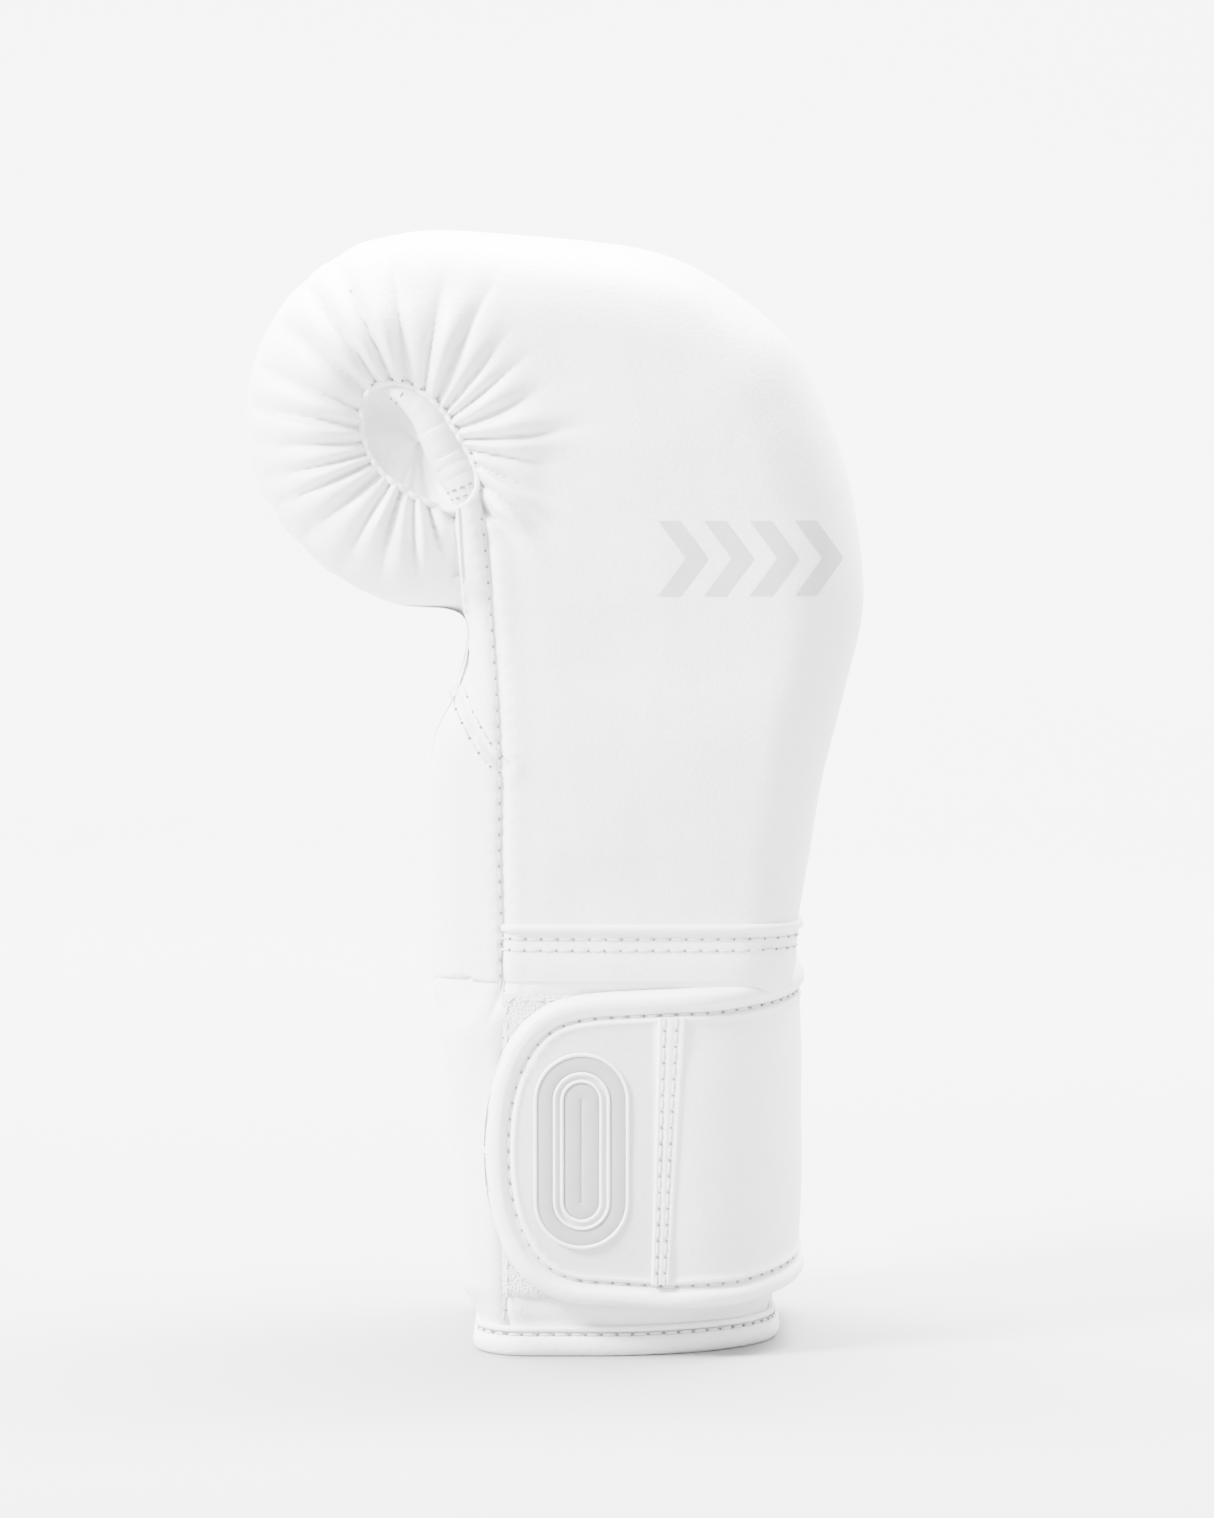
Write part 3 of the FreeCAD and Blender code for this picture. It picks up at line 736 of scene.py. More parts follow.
def buildHand():
    rows, rowShades = beltRows()
    near = sideMesh(True, rows[0])
    far = sideMesh(False, rows[-1])
    steps = len(loop)
    belt = np.vstack(rows)
    quads = []
    for r in range(len(rows) - 1):
        for c in range(len(outline) - 1):
            a = r * steps + c
            quads.append((a, a + 1, a + steps + 1, a + steps))
    quads = np.array(quads)
    groups = {"gloveShell": [], "palmUpperPanel": [], "palmHeelPanel": []}
    verts = np.vstack([near[0], belt, far[0]])
    shades = np.concatenate([near[2], np.concatenate(rowShades), far[2]])
    for faces, start, kind in ((near[1], 0, "near"), (quads, len(near[0]), "belt"),
                               (far[1], len(near[0]) + len(belt), "far")):
        faces = faces + start
        x, _, z = verts[faces].mean(1).T
        if kind == "belt":
            palm = ((faces[:, 0] - start) % steps) >= notchRow
            heel = palm & (z < hand["crossZ"])
        elif kind == "near":
            strip = (x > lineX(stripEdge, z)) & (z < 230) & (z > 188)
            palm = (x < lineX(pinkySeam, z)) & ((z < hand["notchZ"]) | strip)
            heel = palm & underLine(x, z)
        else:
            palm = (x < lineX(pinkySeam, z)) & (z < np.interp(x, [hand["notchX"], -15.3],
                                                              [hand["notchZ"], 189.0]))
            heel = palm & (z < hand["crossZ"])
        groups["gloveShell"] += faces[~palm].tolist()
        groups["palmUpperPanel"] += faces[palm & ~heel].tolist()
        groups["palmHeelPanel"] += faces[heel].tolist()
    made = []
    for name, picked in groups.items():
        piece = addMesh(name, verts, picked, whiteLeather, shades, "glove")
        flipIfInward(piece, (5, 0, 200) if name == "gloveShell" else (15, 0, 150))
        made.append(piece)
        print("stage:", name, len(picked), "faces")
    return made


gloveShell, palmUpper, palmHeel = buildHand()
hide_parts("back_shell", "dense_foam", "eva_foam", "soft_foam")
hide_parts("palm_upper_panel")
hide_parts("palm_heel_panel", "heel_foam")
print("stage: hand panels")


# The gathered opening and what shows inside it

opening = {"bead": 0.9, "padDepth": 8.5, "lipDepth": 0.85}
# Middle of the padded lip on the opening's right, with its half width: x, z, half width.
lipLine = [(-43.5, 248.6, 1.6), (-40.0, 247.8, 2.3), (-36.3, 245.2, 3.0), (-32.4, 241.2, 3.9),
           (-29.8, 236.6, 4.5),
           (-27.5, 232.0, 5.0), (-24.9, 227.0, 4.9), (-22.6, 221.6, 3.9),
           (-21.0, 214.5, 3.2), (-20.0, 206.0, 2.6)]


def rimHeights(extra, count):
    ring, angle = holeLoop(extra, count)
    height, _ = sideSurface(ring[:, 0], ring[:, 1], True)
    soft = np.ones(13) / 13
    return ring, angle, np.convolve(np.concatenate([height[-6:], height, height[:6]]), soft, "valid")


def lipSurface():
    line = resample(lipLine, 90)
    height, _ = sideSurface(line[:, 0] + 0.7 * line[:, 2], line[:, 1] + 0.7 * line[:, 2], True)
    height = np.convolve(np.pad(height, 7, "edge"), np.ones(15) / 15, "valid")
    sunk = 4.0 * smooth(68, 90, np.arange(90)) + 2.2 * smooth(10, 0, np.arange(90))
    return line, height - 0.30 * line[:, 2] - sunk


def buildOpening():
    ring, _, height = rimHeights(0.0, 220)
    path = np.stack([ring[:, 0], -(height + 0.1), ring[:, 1]], 1)
    verts, faces = tubeAlong(path, opening["bead"], 10, True, 0.9)
    addMesh("openingEdge", verts, faces, whiteLeather, None, "glove")

    line, middle = lipSurface()
    path = np.stack([line[:, 0], -middle, line[:, 1]], 1)
    verts, faces = tubeAlong(path, line[:, 2], 30, False, opening["lipDepth"])
    lip = addMesh("openingLip", verts, faces, smoothLeather, None, "glove")
    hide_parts("opening_binding")

    # Smooth padded bag behind the opening, deepest under the lip.
    rings, count = 30, 140
    verts = []
    mean = float(height.mean())
    for k in range(rings):
        if k == 0:
            ring, _, outer = rimHeights(2.4, count)
            xz, level = ring, outer - 4.5
        else:
            share = (k - 1) / (rings - 2)
            ring, _, outer = rimHeights(0.0, count)
            centre = np.array([hand["holeX"], hand["holeZ"]])
            xz = ring + (centre - ring) * share
            inner = np.hypot(*(ring - xz).T)
            level = outer * (1 - share) + mean * share - 0.2
            level = level - opening["padDepth"] * (1 - np.exp(-inner / 7.5))
            level = level + 2.0 * bump(np.hypot(xz[:, 0] + 43.5, xz[:, 1] - 237), 8.5)
            level = level - 0.25 * wobble(xz[:, 0], xz[:, 1], 5.0, 6)
        verts.append(np.stack([xz[:, 0], -level, xz[:, 1]], 1))
    faces = gridFaces(rings, count, True)
    pad = addMesh("recessPad", np.vstack(verts), faces, smoothLeather, None, "glove")
    flipIfInward(pad, (-35, 60, 234))
    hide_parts("recess_cup")


buildOpening()
print("stage: opening")


# Cuff, welt and bindings

cuff = {
    "backX": cuffBackX,
    "half": 46.0,
    "backCorner": 28.0,
    "palmCorner": 13.5,
    "top": 100.5,
    "loopSteps": 420,
    "rows": 90,
    "seamX": -13.2,
    "rounderX": 20.0,  # how much longer the back corner gets towards the mouth
    "rounderY": 8.0,
}


def cuffPalmX(z):
    return np.interp(z, [0, 6, 9.5, 17, 47, 64, 77, 100, 112],
                     [-19.4, -19.8, -22.0, -24.6, -26.0, -27.5, -29.0, -31.2, -31.8])


def evenRing(points, count):
    # Points at even steps round a closed outline, starting where it starts.
    pts = np.vstack([points, points[:1]])
    gaps = np.linalg.norm(np.diff(pts, axis=0), axis=1)
    along = np.concatenate([[0], np.cumsum(gaps)])
    wanted = np.linspace(0, along[-1], count, endpoint=False)
    return np.stack([np.interp(wanted, along, pts[:, k]) for k in range(pts.shape[1])], 1)


def cuffLoop(z, out, count=None, half=None, backX=None):
    # Level outline of the cuff, starting at the middle of the palm side and running by the little finger.
    count = count or cuff["loopSteps"]
    rounder = float(smooth(17, 5, z))
    x0 = float(cuffPalmX(z)) - out
    x1 = (backX or cuff["backX"]) + out
    y1 = (half or cuff["half"]) + out
    small = max(cuff["palmCorner"] + out, 1.0)
    bigX = max(cuff["backCorner"] + out, 1.0) + cuff["rounderX"] * rounder
    bigY = max(cuff["backCorner"] + out, 1.0) + cuff["rounderY"] * rounder
    points = [(x0, 0.0)]

    def arc(cx, cy, a, b, first, last):
        for t in np.linspace(math.radians(first), math.radians(last), 32):
            points.append((cx + a * math.cos(t), cy + b * math.sin(t)))

    arc(x0 + small, -y1 + small, small, small, 180, 270)
    arc(x1 - bigX, -y1 + bigY, bigX, bigY, 270, 360)
    arc(x1 - bigX, y1 - bigY, bigX, bigY, 0, 90)
    arc(x0 + small, y1 - small, small, small, 90, 180)
    return evenRing(np.array(points), count)


def handLoop(z, out):
    # Level outline of the hand part near the wrist, taken from its own surface.
    level = max(float(z), hand["wristZ"] - 2.9)
    backX = float(np.interp(level, outline[:60, 1], outline[:60, 0]))
    tail = outline[-90:][::-1]
    palmX = float(np.interp(level, tail[:, 1], tail[:, 0]))
    spread = 0.5 - 0.5 * np.cos(np.linspace(0, math.pi, 150))
    xs = palmX + (backX - palmX) * spread
    near, _ = sideSurface(xs, np.full(len(xs), level), True)
    far, _ = sideSurface(xs, np.full(len(xs), level), False)
    points = np.vstack([[(palmX, 0.0)], np.stack([xs, -near], 1), np.stack([xs[::-1], far[::-1]], 1)])
    ring = evenRing(points, cuff["loopSteps"])
    tangent = np.roll(ring, -5, 0) - np.roll(ring, 5, 0)
    tangent /= np.linalg.norm(tangent, axis=1)[:, None]
    normal = np.stack([tangent[:, 1], -tangent[:, 0]], 1)
    if np.sum(normal * (ring - ring.mean(0))) < 0:
        normal = -normal
    return ring + normal * out, normal


def cuffRing(z):
    # The cuff's leather at one height: the cuff's own outline, turning into the hand part's at the top.
    steps = cuff["loopSteps"]
    ring = cuffLoop(z, 0.0)
    middle = ring.mean(0)
    away = ring - middle
    away /= np.linalg.norm(away, axis=1)[:, None]
    swell = 0.9 * bump(z - 55, 45) + 0.25 * wobble(np.arange(steps) * 0.7, z, 18.0, 8) - 0.9
    fold = 1.2 * bump(z - 8.0, 2.4)
    palmFold = 1.4 * bump(z - 11.5, 3.0) * smooth(-12, -22, ring[:, 0]) * smooth(10, -30, ring[:, 1])
    seam = np.abs(ring[:, 0] - cuff["seamX"]) + 40 * (np.abs(ring[:, 1]) < 20)
    seamMove = 0.45 * bump(seam - 3.4, 2.4) - 0.8 * bump(seam, 1.0)
    ring = ring + away * (swell - fold - palmFold + seamMove)[:, None]
    top, _ = handLoop(96.5, 0.0)
    palmness = smooth(-2, -15, ring[:, 0])
    weight = smooth(82, 96.3, z) * palmness + 0.9 * smooth(90, 99, z) * (1 - palmness)
    tuck = 0.5 * float(smooth(95.8, 96.4, z)) + 0.4 * float(smooth(97, 99, z))
    ring = ring + (top - ring) * weight[:, None] - away * tuck
    # The second value is painted shade, with some dirt, in the seam's groove.
    return ring, 0.5 * bump(seam, 0.7)


split = {"middleY": 22.0, "halfGap": 6.2, "top": 84.0, "archZ": 78.0, "bindingRadius": 6.6}


def buildCuff():
    zs = np.linspace(cuff["top"], 4.0, cuff["rows"])
    verts, shade = [], []
    for z in zs:
        ring, dark = cuffRing(float(z))
        verts.append(np.column_stack([ring, np.full(len(ring), z)]))
        shade.append(dark)
    faces = gridFaces(len(zs), cuff["loopSteps"], True)
    verts = np.vstack(verts)
    shade = np.concatenate(shade)
    middles = verts[np.array(faces)].mean(1)
    isPalm = middles[:, 0] < cuff["seamX"]
    nearSplit = np.abs(middles[:, 1] - split["middleY"]) < split["halfGap"]
    gap = isPalm & nearSplit & (middles[:, 2] < split["top"])
    for name, chosen, node in (("cuffShell", ~isPalm, ("cuff_shell", "cuff_foam")),
                               ("cuffPalmPanel", isPalm & ~gap, ("cuff_palm_panel",))):
        piece = addMesh(name, verts, [f for f, keep in zip(faces, chosen) if keep], whiteLeather, shade,
                        "glove")
        flipIfInward(piece, (15, 0, 55))
        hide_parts(*node)


def buildSplit():
    # Ribbed elastic let into the split on the palm side, with rolled edges beside it.
    rows, columns = 120, 36
    verts = []
    for r in range(rows):
        z = 7 + 78 * r / (rows - 1)
        for c in range(columns):
            y = 14.6 + 14.8 * c / (columns - 1)
            rib = 0.5 * math.sin((y - 14.6) / 14.8 * math.pi * 16)
            verts.append((float(cuffPalmX(z)) + 2.6 - 0.35 * rib, y, z))
    gusset = addMesh("wristGusset", verts, gridFaces(rows, columns), elasticCloth, None, "glove")
    flipIfInward(gusset, (40, 22, 45))
    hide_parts("wrist_gusset")
    y, z0, r = split["middleY"], split["archZ"], split["bindingRadius"]
    path = []
    for z in np.linspace(7, z0, 40):
        path.append((float(cuffPalmX(z)) + 0.2, y - r, z))
    for a in np.radians(np.linspace(180, 0, 18)[1:-1]):
        path.append((float(cuffPalmX(82)) + 0.2, y + r * math.cos(a), z0 + r * math.sin(a)))
    for z in np.linspace(z0, 7, 40):
        path.append((float(cuffPalmX(z)) + 0.2, y + r, z))
    normals = np.tile([-1.0, 0.0, 0.0], (len(path), 1))
    verts, faces = tubeAlong(path, 1.9, 12, False, 0.8, normals)
    addMesh("splitBinding", verts, faces, whiteLeather, None, "glove")


def ringProfile(name, profile, shapeZ, material, nodes):
    # A closed section, given as (out, z) pairs, carried round the cuff's outline at one height.
    steps = cuff["loopSteps"]
    rings = []
    for out, z in profile:
        ring = cuffLoop(shapeZ, out, steps)
        rings.append(np.column_stack([ring, np.full(steps, z)]))
    faces = gridFaces(len(rings), steps, True)
    last = (len(rings) - 1) * steps
    for c in range(steps):
        d = (c + 1) % steps
        faces.append((last + c, last + d, d, c))
    piece = addMesh(name, np.vstack(rings), faces, material, None, "glove")
    if nodes:
        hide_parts(*nodes)


def buildBottomBinding():
    # Rolled flange at the mouth, turned in over the foam, with a small ridge sewn above it.
    profile = [(-1.6, 5.2), (-0.4, 5.4), (0.7, 5.0), (1.3, 4.0), (1.5, 2.8), (1.3, 1.5), (0.8, 0.6),
               (0.0, 0.1), (-1.2, 0.0),
               (-3.2, 0.0), (-5.5, 0.0), (-7.4, 0.1), (-8.6, 0.7), (-9.3, 1.8), (-9.4, 3.4), (-9.2, 6.0)]
    ringProfile("cuffBinding", profile, 6.0, whiteLeather, ("cuff_binding",))
    ridge = []
    for a in np.linspace(0, 2 * math.pi, 11)[:-1]:
        ridge.append((-0.75 + 0.95 * math.cos(a), 6.9 + 0.85 * math.sin(a)))
    ringProfile("mouthRidge", ridge, 6.8, whiteLeather, None)


def buildLining():
    # The inside of the glove as seen through the mouth: straight up the cuff, then the fist's pocket.
    steps = 160
    rows = []
    for z, out, half, back in ((4.5, -9.3, 46, 57.5), (20, -9.8, 46, 57.5), (60, -9.8, 46, 57.5),
                               (96, -10.0, 46.5, 56.5), (112, -11.5, 51, 56), (150, -13, 54.5, 60),
                               (190, -14, 55, 62), (220, -16, 54, 58)):
        ring = cuffLoop(min(z, 110), out, steps, half, back)
        rows.append(np.column_stack([ring, np.full(steps, z)]))
    for share in (0.8, 0.55, 0.25):
        last = rows[7]
        middle = last.mean(0)
        ring = middle + (last - middle) * share
        ring[:, 2] = 220 + 26 * (1 - share ** 2) ** 0.5
        rows.append(ring)
    faces = gridFaces(len(rows), steps, True)
    top = (len(rows) - 1) * steps
    faces.append(tuple(top + c for c in range(steps)))
    piece = addMesh("handLining", np.vstack(rows), faces, liningCloth, None, "glove")
    flipIfInward(piece, (15, 0, 100))
    piece.data.flip_normals()
    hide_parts("hand_liner", "cuff_lining")


weltBand = {"pipeZ": 110.6, "pipe": 1.15}


def buildWelt():
    # Sewn band between the hand part and the cuff; the palm's leather runs on past it.
    profile = [(-0.5, 111.0), (0.25, 110.2), (0.45, 108.9), (0.15, 107.9), (0.55, 106.6), (0.35, 105.0),
               (0.75, 103.4),
               (0.75, 101.0), (0.4, 98.5), (-0.3, 96.0), (-1.6, 93.0)]
    steps = cuff["loopSteps"]
    rings, shade = [], []
    for out, z in profile:
        ring, _ = handLoop(z, out)
        rings.append(np.column_stack([ring, np.full(steps, z)]))
        # Painted shade, with some dirt, in the grooves of the two stitch rows.
        shade.append(np.full(steps, 0.35 * bump(z - 107.9, 0.6) + 0.2 * bump(z - 105.0, 0.6)))
    verts = np.vstack(rings)
    faces = np.array(gridFaces(len(rings), steps, True))
    faces = faces[verts[faces].mean(1)[:, 0] > cuff["seamX"]]
    band = addMesh("weltBand", verts, faces, whiteLeather, np.concatenate(shade), "glove")
    flipIfInward(band, (15, 0, 102))
    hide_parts("welt_band")
    ring, normal = handLoop(weltBand["pipeZ"], 0.35)
    keep = ring[:, 0] > cuff["seamX"] - 0.3
    path = np.column_stack([ring, np.full(steps, weltBand["pipeZ"])])[keep]
    normals = np.column_stack([normal, np.zeros(steps)])[keep]
    verts, faces = tubeAlong(path, weltBand["pipe"], 12, False, 1.0, normals)
    addMesh("weltPiping", verts, faces, whiteLeather, None, "glove")


buildCuff()
buildSplit()
buildBottomBinding()
buildLining()
buildWelt()
print("stage: cuff and welt")


# Strap

strap = {
    "endX": -18.0,
    "low": 13.0,
    "high": 96.5,
    "clear": 1.4,
    "rimWidth": 5.8,
    "rimHeight": 6.2,
    "panelHeight": 4.9,
    "backHingeX": 28.0,
    "tipHingeY": -14.0,
    "anchorX": -12.0,
    "badgeX": 7.0,
    "badgeRadius": 12.0,
    "badgeHeight": 50.0,
    "bandLeft": 25.6,
    "bandRight": 31.5,
}
bigCorner = cuff["backCorner"]
flatEnd = cuff["backX"] - bigCorner
cornerLength = bigCorner * math.pi / 2
dorsalStart = flatEnd + cornerLength
dorsalLength = 2 * (cuff["half"] - bigCorner)
thumbCorner = dorsalStart + dorsalLength
thumbStart = thumbCorner + cornerLength


def onStrap(u, height):
    # u is the length along the cuff's face from its middle on the little-finger side, round by the back.
    u = np.asarray(u, float)
    out = strap["clear"] + np.asarray(height, float)
    half, r = cuff["half"], bigCorner
    a1 = np.clip((u - flatEnd) / r, 0, math.pi / 2)
    a2 = np.clip((u - thumbCorner) / r, 0, math.pi / 2)
    x = np.minimum(u, flatEnd) + r * np.sin(a1)
    y = -half + r * (1 - np.cos(a1)) + np.clip(u - dorsalStart, 0, dorsalLength)
    x = x - r * (1 - np.cos(a2)) - np.clip(u - thumbStart, 0, None)
    y = y + r * np.sin(a2)
    turn = -math.pi / 2 + a1 + a2
    bend = np.clip((-4.0 - u) / 14.0, 0, None) ** 2 * 2.2  # the free end follows the palm corner a little
    nx, ny = np.cos(turn), np.sin(turn)
    return x + nx * out, y + ny * out + bend, nx, ny


def strapTop(u):
    return np.interp(u, [-20, 4, 14, 26, 41, 60, 73, 120, 240],
                     [92.5, 93.6, 94.4, 95.0, 95.6, 97.6, 98.8, 98.0, 97.0])


def strapFoot(u):
    return np.interp(u, [-20, 2, 14, 30, 45, 60, 73, 120, 240],
                     [15.0, 14.2, 13.6, 12.6, 13.2, 15.6, 18.0, 17.0, 15.0])


def tabEnd(uEnd, corner, inset=0.0):
    # The tab's rounded end as (u, share of half the height), from its tip to the straight part.
    t = np.linspace(math.pi, math.pi / 2, 70)
    return uEnd + corner - (corner - inset) * np.abs(np.cos(t)) ** 0.72, np.abs(np.sin(t)) ** 0.92


def strapHeight(d, u, z):
    # Rolled rim, a sewn groove with a small fold inside it, then the panel; the second value is painted
    # shade, with some dirt, in that groove.
    middle = strap["rimWidth"] / 2
    rim = strap["rimHeight"] * np.clip(1 - np.abs((d - middle) / (middle + 0.05)) ** 2.6, 0, 1) ** (1 / 2.6)
    panel = strap["panelHeight"] + 0.5 * bump(d - 7.5, 0.8) - 0.9 * bump(d - 6.3, 0.6)
    panel = panel + 0.6 * smooth(8, 24, d)
    panel = panel + 0.08 * np.sin((u + z) * 2 * math.pi / 4.0) * bump(d - 7.2, 1.6)
    return np.maximum(rim, np.where(d > 4.6, panel, 0)), 0.45 * bump(d - 6.2, 0.5)


def strapPiece(name, uEnd, uFar, corner):
    if corner:
        endU, endShare = tabEnd(uEnd, corner)
        us = np.concatenate([endU, np.linspace(uEnd + corner, uFar, int((uFar - uEnd - corner) / 0.9))[1:]])
        middleShare = np.concatenate([endShare, np.ones(len(us) - len(endShare))])
    else:
        us = np.linspace(uEnd, uFar, int((uFar - uEnd) / 0.9))
        middleShare = np.ones(len(us))
    zc = (strapTop(us) + strapFoot(us)) / 2
    high = zc + (strapTop(us) - zc) * middleShare
    low = zc - (zc - strapFoot(us)) * middleShare
    fixed = np.array([0, 0.12, 0.35, 0.7, 1.15, 1.7, 2.3, 2.9, 3.5, 4.1, 4.6, 5.0, 5.3, 5.5, 5.7, 5.9, 6.1,
                      6.35, 6.6, 6.9, 7.2,
                      7.5, 7.8, 8.2, 8.8, 9.8, 11.5, 14.0])
    inner = np.linspace(0, 1, 15)[1:]
    rows = []
    for u, top, foot in zip(us, high, low):
        half = (top - foot) / 2
        full = max(half, 20.0)
        d = np.concatenate([fixed, 14.0 + (full - 14.0) * inner]) * (half / full)
        z = np.concatenate([top - d, (foot + d)[::-1][1:]])
        rows.append(np.column_stack([np.full(len(z), u), z]))
    count = len(rows[0])
    flat = np.vstack(rows)
    u, z = flat.T
    d = np.minimum(strapTop(u) - z, z - strapFoot(u))
    if corner:
        edge = np.vstack([np.column_stack([us, high]), np.column_stack([us, low])])
        edge = edge[edge[:, 0] < uEnd + corner + 26]
        for i in range(0, len(u), 3000):
            part = slice(i, i + 3000)
            near = np.sqrt(((u[part, None] - edge[:, 0]) ** 2 + (z[part, None] - edge[:, 1]) ** 2).min(1))
            d[part] = np.where(u[part] < uEnd + corner + 14, np.minimum(d[part], near), d[part])
    d = np.clip(d, 0, None)
    onEdge = np.zeros(len(d), bool)
    onEdge[::count] = True
    onEdge[count - 1::count] = True
    d = np.where(onEdge, 0, d)
    h, shade = strapHeight(d, u, z)
    h = h + 0.15 * wobble(u, z, 9.0, 11) * smooth(8, 12, d)
    x, y, _, _ = onStrap(u, h)
    front = np.column_stack([x, y, z])
    x, y, _, _ = onStrap(u, np.zeros(len(u)))
    back = np.column_stack([x, y, z])
    total = len(front)
    faces = gridFaces(len(us), count) + gridFaces(len(us), count, False, total)
    border = [r * count for r in range(len(us))] + [(len(us) - 1) * count + c for c in range(1, count)]
    border += [r * count + count - 1 for r in range(len(us) - 2, -1, -1)] + list(range(count - 2, 0, -1))
    for a, b in zip(border, border[1:] + border[:1]):
        faces.append((a, b, total + b, total + a))
    panel = smooth(7.9, 8.3, d) * (u < 25) if corner else np.zeros(total)
    piece = addMesh(name, np.vstack([front, back]), faces, whiteLeather,
                    np.concatenate([shade, np.zeros(total)]),
                    None, np.concatenate([panel, np.zeros(total)]))
    return piece


def rowPoint(x, y, z):
    return tuple(toRow([(x, y, z)])[0])


joinU = (dorsalStart + thumbCorner) / 2 + 8
tipStrap = strapPiece("strapTip", strap["endX"], joinU, 30.0)
hingeX = cuff["backX"] + strap["clear"] + 5
rowPoint(hingeX, strap["tipHingeY"] + 8, 55)
rowPoint(hingeX, strap["tipHingeY"] - 8, 55)
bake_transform(tipStrap)
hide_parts("strap_tip_border", "strap_tip_panel", "strap_end_panel", "strap_tip_foam",
            "strap_back_panel")
anchorU = thumbStart + flatEnd - strap["anchorX"]
backStrap = strapPiece("strapBack", joinU, anchorU, 0.0)
rowPoint(strap["backHingeX"] - 7, 52, 55)
rowPoint(strap["backHingeX"] + 7, 52, 55)
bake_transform(backStrap)
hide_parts("strap_back_border", "strap_back_foam", "strap_anchor_border", "strap_anchor_panel",
            "strap_anchor_foam")


def seamBandEdges(z):
    lean = (z - 55.0) / 38.0
    return strap["bandLeft"] + 0.9 * lean, strap["bandRight"] + 1.9 * lean


def buildSeamBand():
    # A thin raised band across the strap, a little out of square, with rounded long edges.
    rows, columns = 130, 26
    low, high = float(strapFoot(29)) + 7.0, float(strapTop(29)) - 7.0
    verts = []
    for r in range(rows):
        z = low + (high - low) * r / (rows - 1)
        left, right = seamBandEdges(z)
        for c in range(columns):
            share = c / (columns - 1)
            edge = min(share, 1 - share) * (right - left)
            rise = 0.95 * math.sqrt(max(0.0, 1 - (1 - min(edge / 0.9, 1)) ** 2))
            rise -= 0.30 * float(bump((share - 0.28) * 6, 0.7) + bump((share - 0.68) * 6, 0.7))
            x, y, _, _ = onStrap(left + (right - left) * share,
                                 strap["panelHeight"] + 0.35 + rise - 0.5 * (edge <= 0))
            verts.append((float(x), float(y), z))
    piece = addMesh("strapSeamBand", verts, gridFaces(rows, columns), whiteLeather, None, "strap_tip")
    flipIfInward(piece, (29, 0, 55))
    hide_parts("strap_seam_band")


def buildBadge():
    # A plain moulded mark: one long rounded ring round a long rounded bar.
    zMid = 54.0
    reach = strap["badgeHeight"] / 2 - strap["badgeRadius"]
    base = strap["panelHeight"] + 0.45

    def moulded(name, material, bands, lift):
        verts, faces = [], []
        profileSteps = 14
        for radius, wide in bands:
            path = []
            for t in np.linspace(0, math.pi, 40):
                path.append((math.cos(t), math.sin(t), reach))
            for t in np.linspace(math.pi, 2 * math.pi, 40):
                path.append((math.cos(t), math.sin(t), -reach))
            start, count = len(verts), len(path)
            for ct, st, shift in path:
                for k in range(profileSteps):
                    b = math.pi * k / (profileSteps - 1)
                    r = radius + wide * math.cos(b)
                    raised = base + lift * max(math.sin(b), 0.0) ** 0.5 - 0.1
                    x, y, _, _ = onStrap(strap["badgeX"] + r * ct, raised)
                    verts.append((float(x), float(y), zMid + shift + r * st))
            for i in range(count):
                j = (i + 1) % count
                for k in range(profileSteps - 1):
                    faces.append((start + i * profileSteps + k, start + j * profileSteps + k,
                                  start + j * profileSteps + k + 1, start + i * profileSteps + k + 1))
        piece = addMesh(name, verts, faces, material, None, "strap_tip")
        flipIfInward(piece, (strap["badgeX"], 0, zMid))
        return piece

    radius = strap["badgeRadius"]
    piece = moulded("strapBadge", greyRubber, ((radius - 2.6, 2.0), (2.3, 2.2)), 0.75)
    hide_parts("strap_badge")
    moulded("badgeBeads", whiteLeather, ((radius - 0.2, 0.5), (radius - 5.1, 0.45), (5.0, 0.45)), 1.0)


buildSeamBand()
buildBadge()


def buildPatches():
    # Loop patch on the cuff and hook patch under the strap's end.
    def patch(name, uLow, uHigh, zLow, zHigh, height, material, body, node):
        rows, columns = 60, 50
        verts = []
        for r in range(rows):
            for c in range(columns):
                u = uLow + (uHigh - uLow) * c / (columns - 1)
                z = zLow + (zHigh - zLow) * r / (rows - 1)
                edge = min(c, columns - 1 - c, r, rows - 1 - r) == 0
                x, y, _, _ = onStrap(u, height - strap["clear"] - (0.9 if edge else 0))
                verts.append((float(x), float(y), z))
        piece = addMesh(name, verts, gridFaces(rows, columns), material, None, body)
        flipIfInward(piece, ((uLow + uHigh) / 2, 0, 55))
        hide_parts(node)
        return piece

    patch("loopPatch", -13.5, 44, 15.2, 93.5, 1.15, loopCloth, "glove", "loop_patch")
    hook = patch("hookPatch", -8, 44, 24, 86, 1.28, hookCloth, "strap_tip", "strap_hook_patch")
    hook.data.flip_normals()


buildPatches()
print("stage: strap")


# Thumb

thumb = {"x": 9.0, "y": 64.5, "low": 112.0, "high": 240.0, "radiusX": 24.5, "radiusY": 20.0,
         "tipStart": 0.70, "baseEnd": 0.28}


